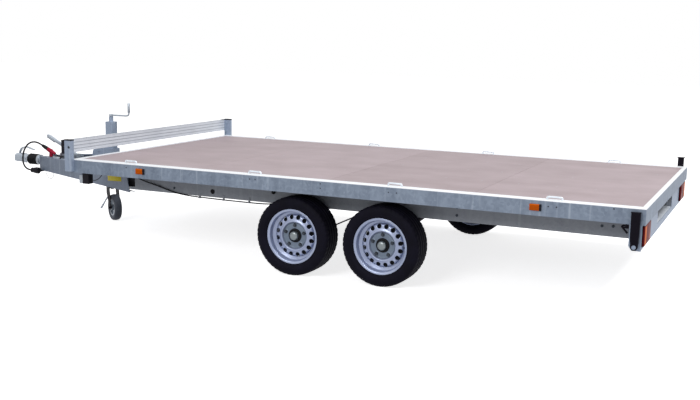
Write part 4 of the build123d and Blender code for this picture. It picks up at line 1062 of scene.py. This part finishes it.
def crankSurfaces(spec):
    # A round bar along the bent line, a turned sleeve on its upright end, a turned boss.
    a = np.radians(spec["turn"])
    out = np.array([np.cos(a), np.sin(a), 0])
    up = np.array([0, 0, 1])
    base = np.array([spec["x"], 0, spec["z"]])
    knee = base + out * spec["reach"] + up * spec["level"]
    arm = [base + out * spec["root"] + up * spec["level"], knee, knee + up * spec["rise"]]
    rod = sweptSurface(bentLine(arm, spec["bend"], 9), ring(spec["bar"], 20), up=(-out[1], out[0], 0))
    sleeve = turnedSleeve(spec["bar"], spec["sleeve"], 0, spec["sleeveLength"], 32)
    wide, tall = spec["boss"]
    boss = turnedSleeve(spec["bore"], wide, 0, tall, 48)
    return [rod, placed(sleeve, base + out * spec["reach"] + up * spec["sleeveZ"]), placed(boss, base)]


makePiece("jackCrank", crankSurfaces(crank), "zinc", None, "crank_body", ["jack_crank"], crease=50)

# Jockey wheel: solid rubber tyre with a crowned tread, and the fork's bright release lever

jockey = {"centre": (4440.85, 34.41, 110), "axle": (0.5736, 0.8192, 0), "pivot": (4490, 0), "turn": -35,
          "tyre": [(70.3, 22), (74, 25.4), (80, 28.6), (88, 30.6), (95, 30.8), (101, 28.4), (105.6, 23),
                   (108.6, 14), (109.9, 0)], "groove": (0.9, 12, 1.4),
          "lever": [(4, 43, 188), (9, 57, 163), (17, 80, 120), (22.3, 94, 93.5)], "leverThick": 6,
          "leverSwell": [(0, 1), (0.5, 1), (0.62, 1.25), (0.95, 1.25), (1, 0.8)]}


def jockeyTyre(spec):
    # Half an outline of (radius, along), less one groove's bell curve, and its mirror image.
    half = softLine(spec["tyre"], 40)
    depth, middle, soft = spec["groove"]
    half = half - depth * np.exp(-((half[:, 1:] - middle) / soft) ** 2) * [1, 0]
    profile = np.vstack([half, (half[:-1] * [1, -1])[::-1]])
    return placed(turnedSurface(profile, 120, loop=True), spec["centre"], spec["axle"])


def forkLever(spec):
    # A round bar that swells to a knob towards its tip.
    ends = spun(np.array(spec["lever"], float), np.radians(spec["turn"]))
    line = softLine(ends + [*spec["pivot"], 0], 24)
    size = np.interp(np.linspace(0, 1, len(line)), *np.array(spec["leverSwell"]).T)
    return sweptSurface(line, ring(spec["leverThick"], 16), size)


makePiece("jockeyTyre", [jockeyTyre(jockey)], "grey_rubber", None, "jockey_wheel_body", ["jockey_tyre"],
          crease=60)
makePiece("forkLever", [forkLever(jockey)], "zinc", None, "jockey_fork_body")
print("stage: fittings")


# Studio

studio = {"floor": 30, "floorTone": "#f0f0f2", "bounceTone": "#9a9a9d", "paper": 0.78, "sky": 0.33,
          "keyLight": {"place": (-8.4, 1.6, 12.0), "target": (0, 0, 0.4), "width": 5.0, "power": 1500},
          "fillLight": {"place": (0.6, 9.5, 5.6), "target": (0.2, 0, 0.4), "width": 4.0, "power": 345}}


def newPaint(holder):
    # An emptied node tree, whether a ray comes from the camera, and whether from it or a reflection.
    holder.use_nodes = True
    tree = holder.node_tree
    tree.nodes.clear()
    rays = addNode(tree, "LightPath")
    camera = rays.outputs["Is Camera Ray"]
    seen = addNode(tree, "Math", links={0: camera, 1: rays.outputs["Is Glossy Ray"]}, operation="MAXIMUM")
    return tree, camera, seen.outputs[0]


def buildStudio(spec):
    # White to the eye and in reflections; the objects are lit by a dimmer sky and two soft boxes.
    size = spec["floor"]
    mesh = bpy.data.meshes.new("floor")
    corners = [(-size, -size, 0), (size, -size, 0), (size, size, 0), (-size, size, 0)]
    mesh.from_pydata(corners, [], [(0, 1, 2, 3)])
    floor = bpy.data.objects.new("floor", mesh)
    bpy.context.scene.collection.objects.link(floor)
    paper = bpy.data.materials.new("palePaper")
    mesh.materials.append(paper)
    tree, camera, seen = newPaint(paper)
    glow = addNode(tree, "Math", {1: spec["paper"]}, {0: seen}, operation="MULTIPLY")
    # Pale to the eye, darker in the light it throws back, as a gravel yard is.
    tone = addNode(tree, "Mix", {6: linear(spec["bounceTone"]), 7: linear(spec["floorTone"])}, {0: camera},
                   data_type="RGBA")
    lit = addNode(tree, "BsdfDiffuse", links={0: tone.outputs[2]})
    shine = addNode(tree, "Emission", links={"Strength": glow.outputs[0]})
    both = addNode(tree, "AddShader", links={0: lit.outputs[0], 1: shine.outputs[0]})
    addNode(tree, "OutputMaterial", links={"Surface": both.outputs[0]})

    world = bpy.data.worlds.new("paleSky")
    bpy.context.scene.world = world
    tree, camera, seen = newPaint(world)
    strength = addNode(tree, "MapRange", {3: spec["sky"], 4: 1.0}, {0: seen})
    sky = addNode(tree, "Background", {0: (1, 1, 1, 1)}, {"Strength": strength.outputs[0]})
    addNode(tree, "OutputWorld", links={"Surface": sky.outputs[0]})

    for name in ("keyLight", "fillLight"):
        box = spec[name]
        lamp = bpy.data.lights.new(name, "AREA")
        lamp.size, lamp.energy = box["width"], box["power"]
        holder = bpy.data.objects.new(name, lamp)
        holder.location = box["place"]
        aim = Vector(box["target"]) - Vector(box["place"])
        holder.rotation_euler = aim.to_track_quat("-Z", "Y").to_euler()
        bpy.context.scene.collection.objects.link(holder)
    bpy.context.scene.view_settings.view_transform = "Standard"


buildStudio(studio)
print("stage: studio")
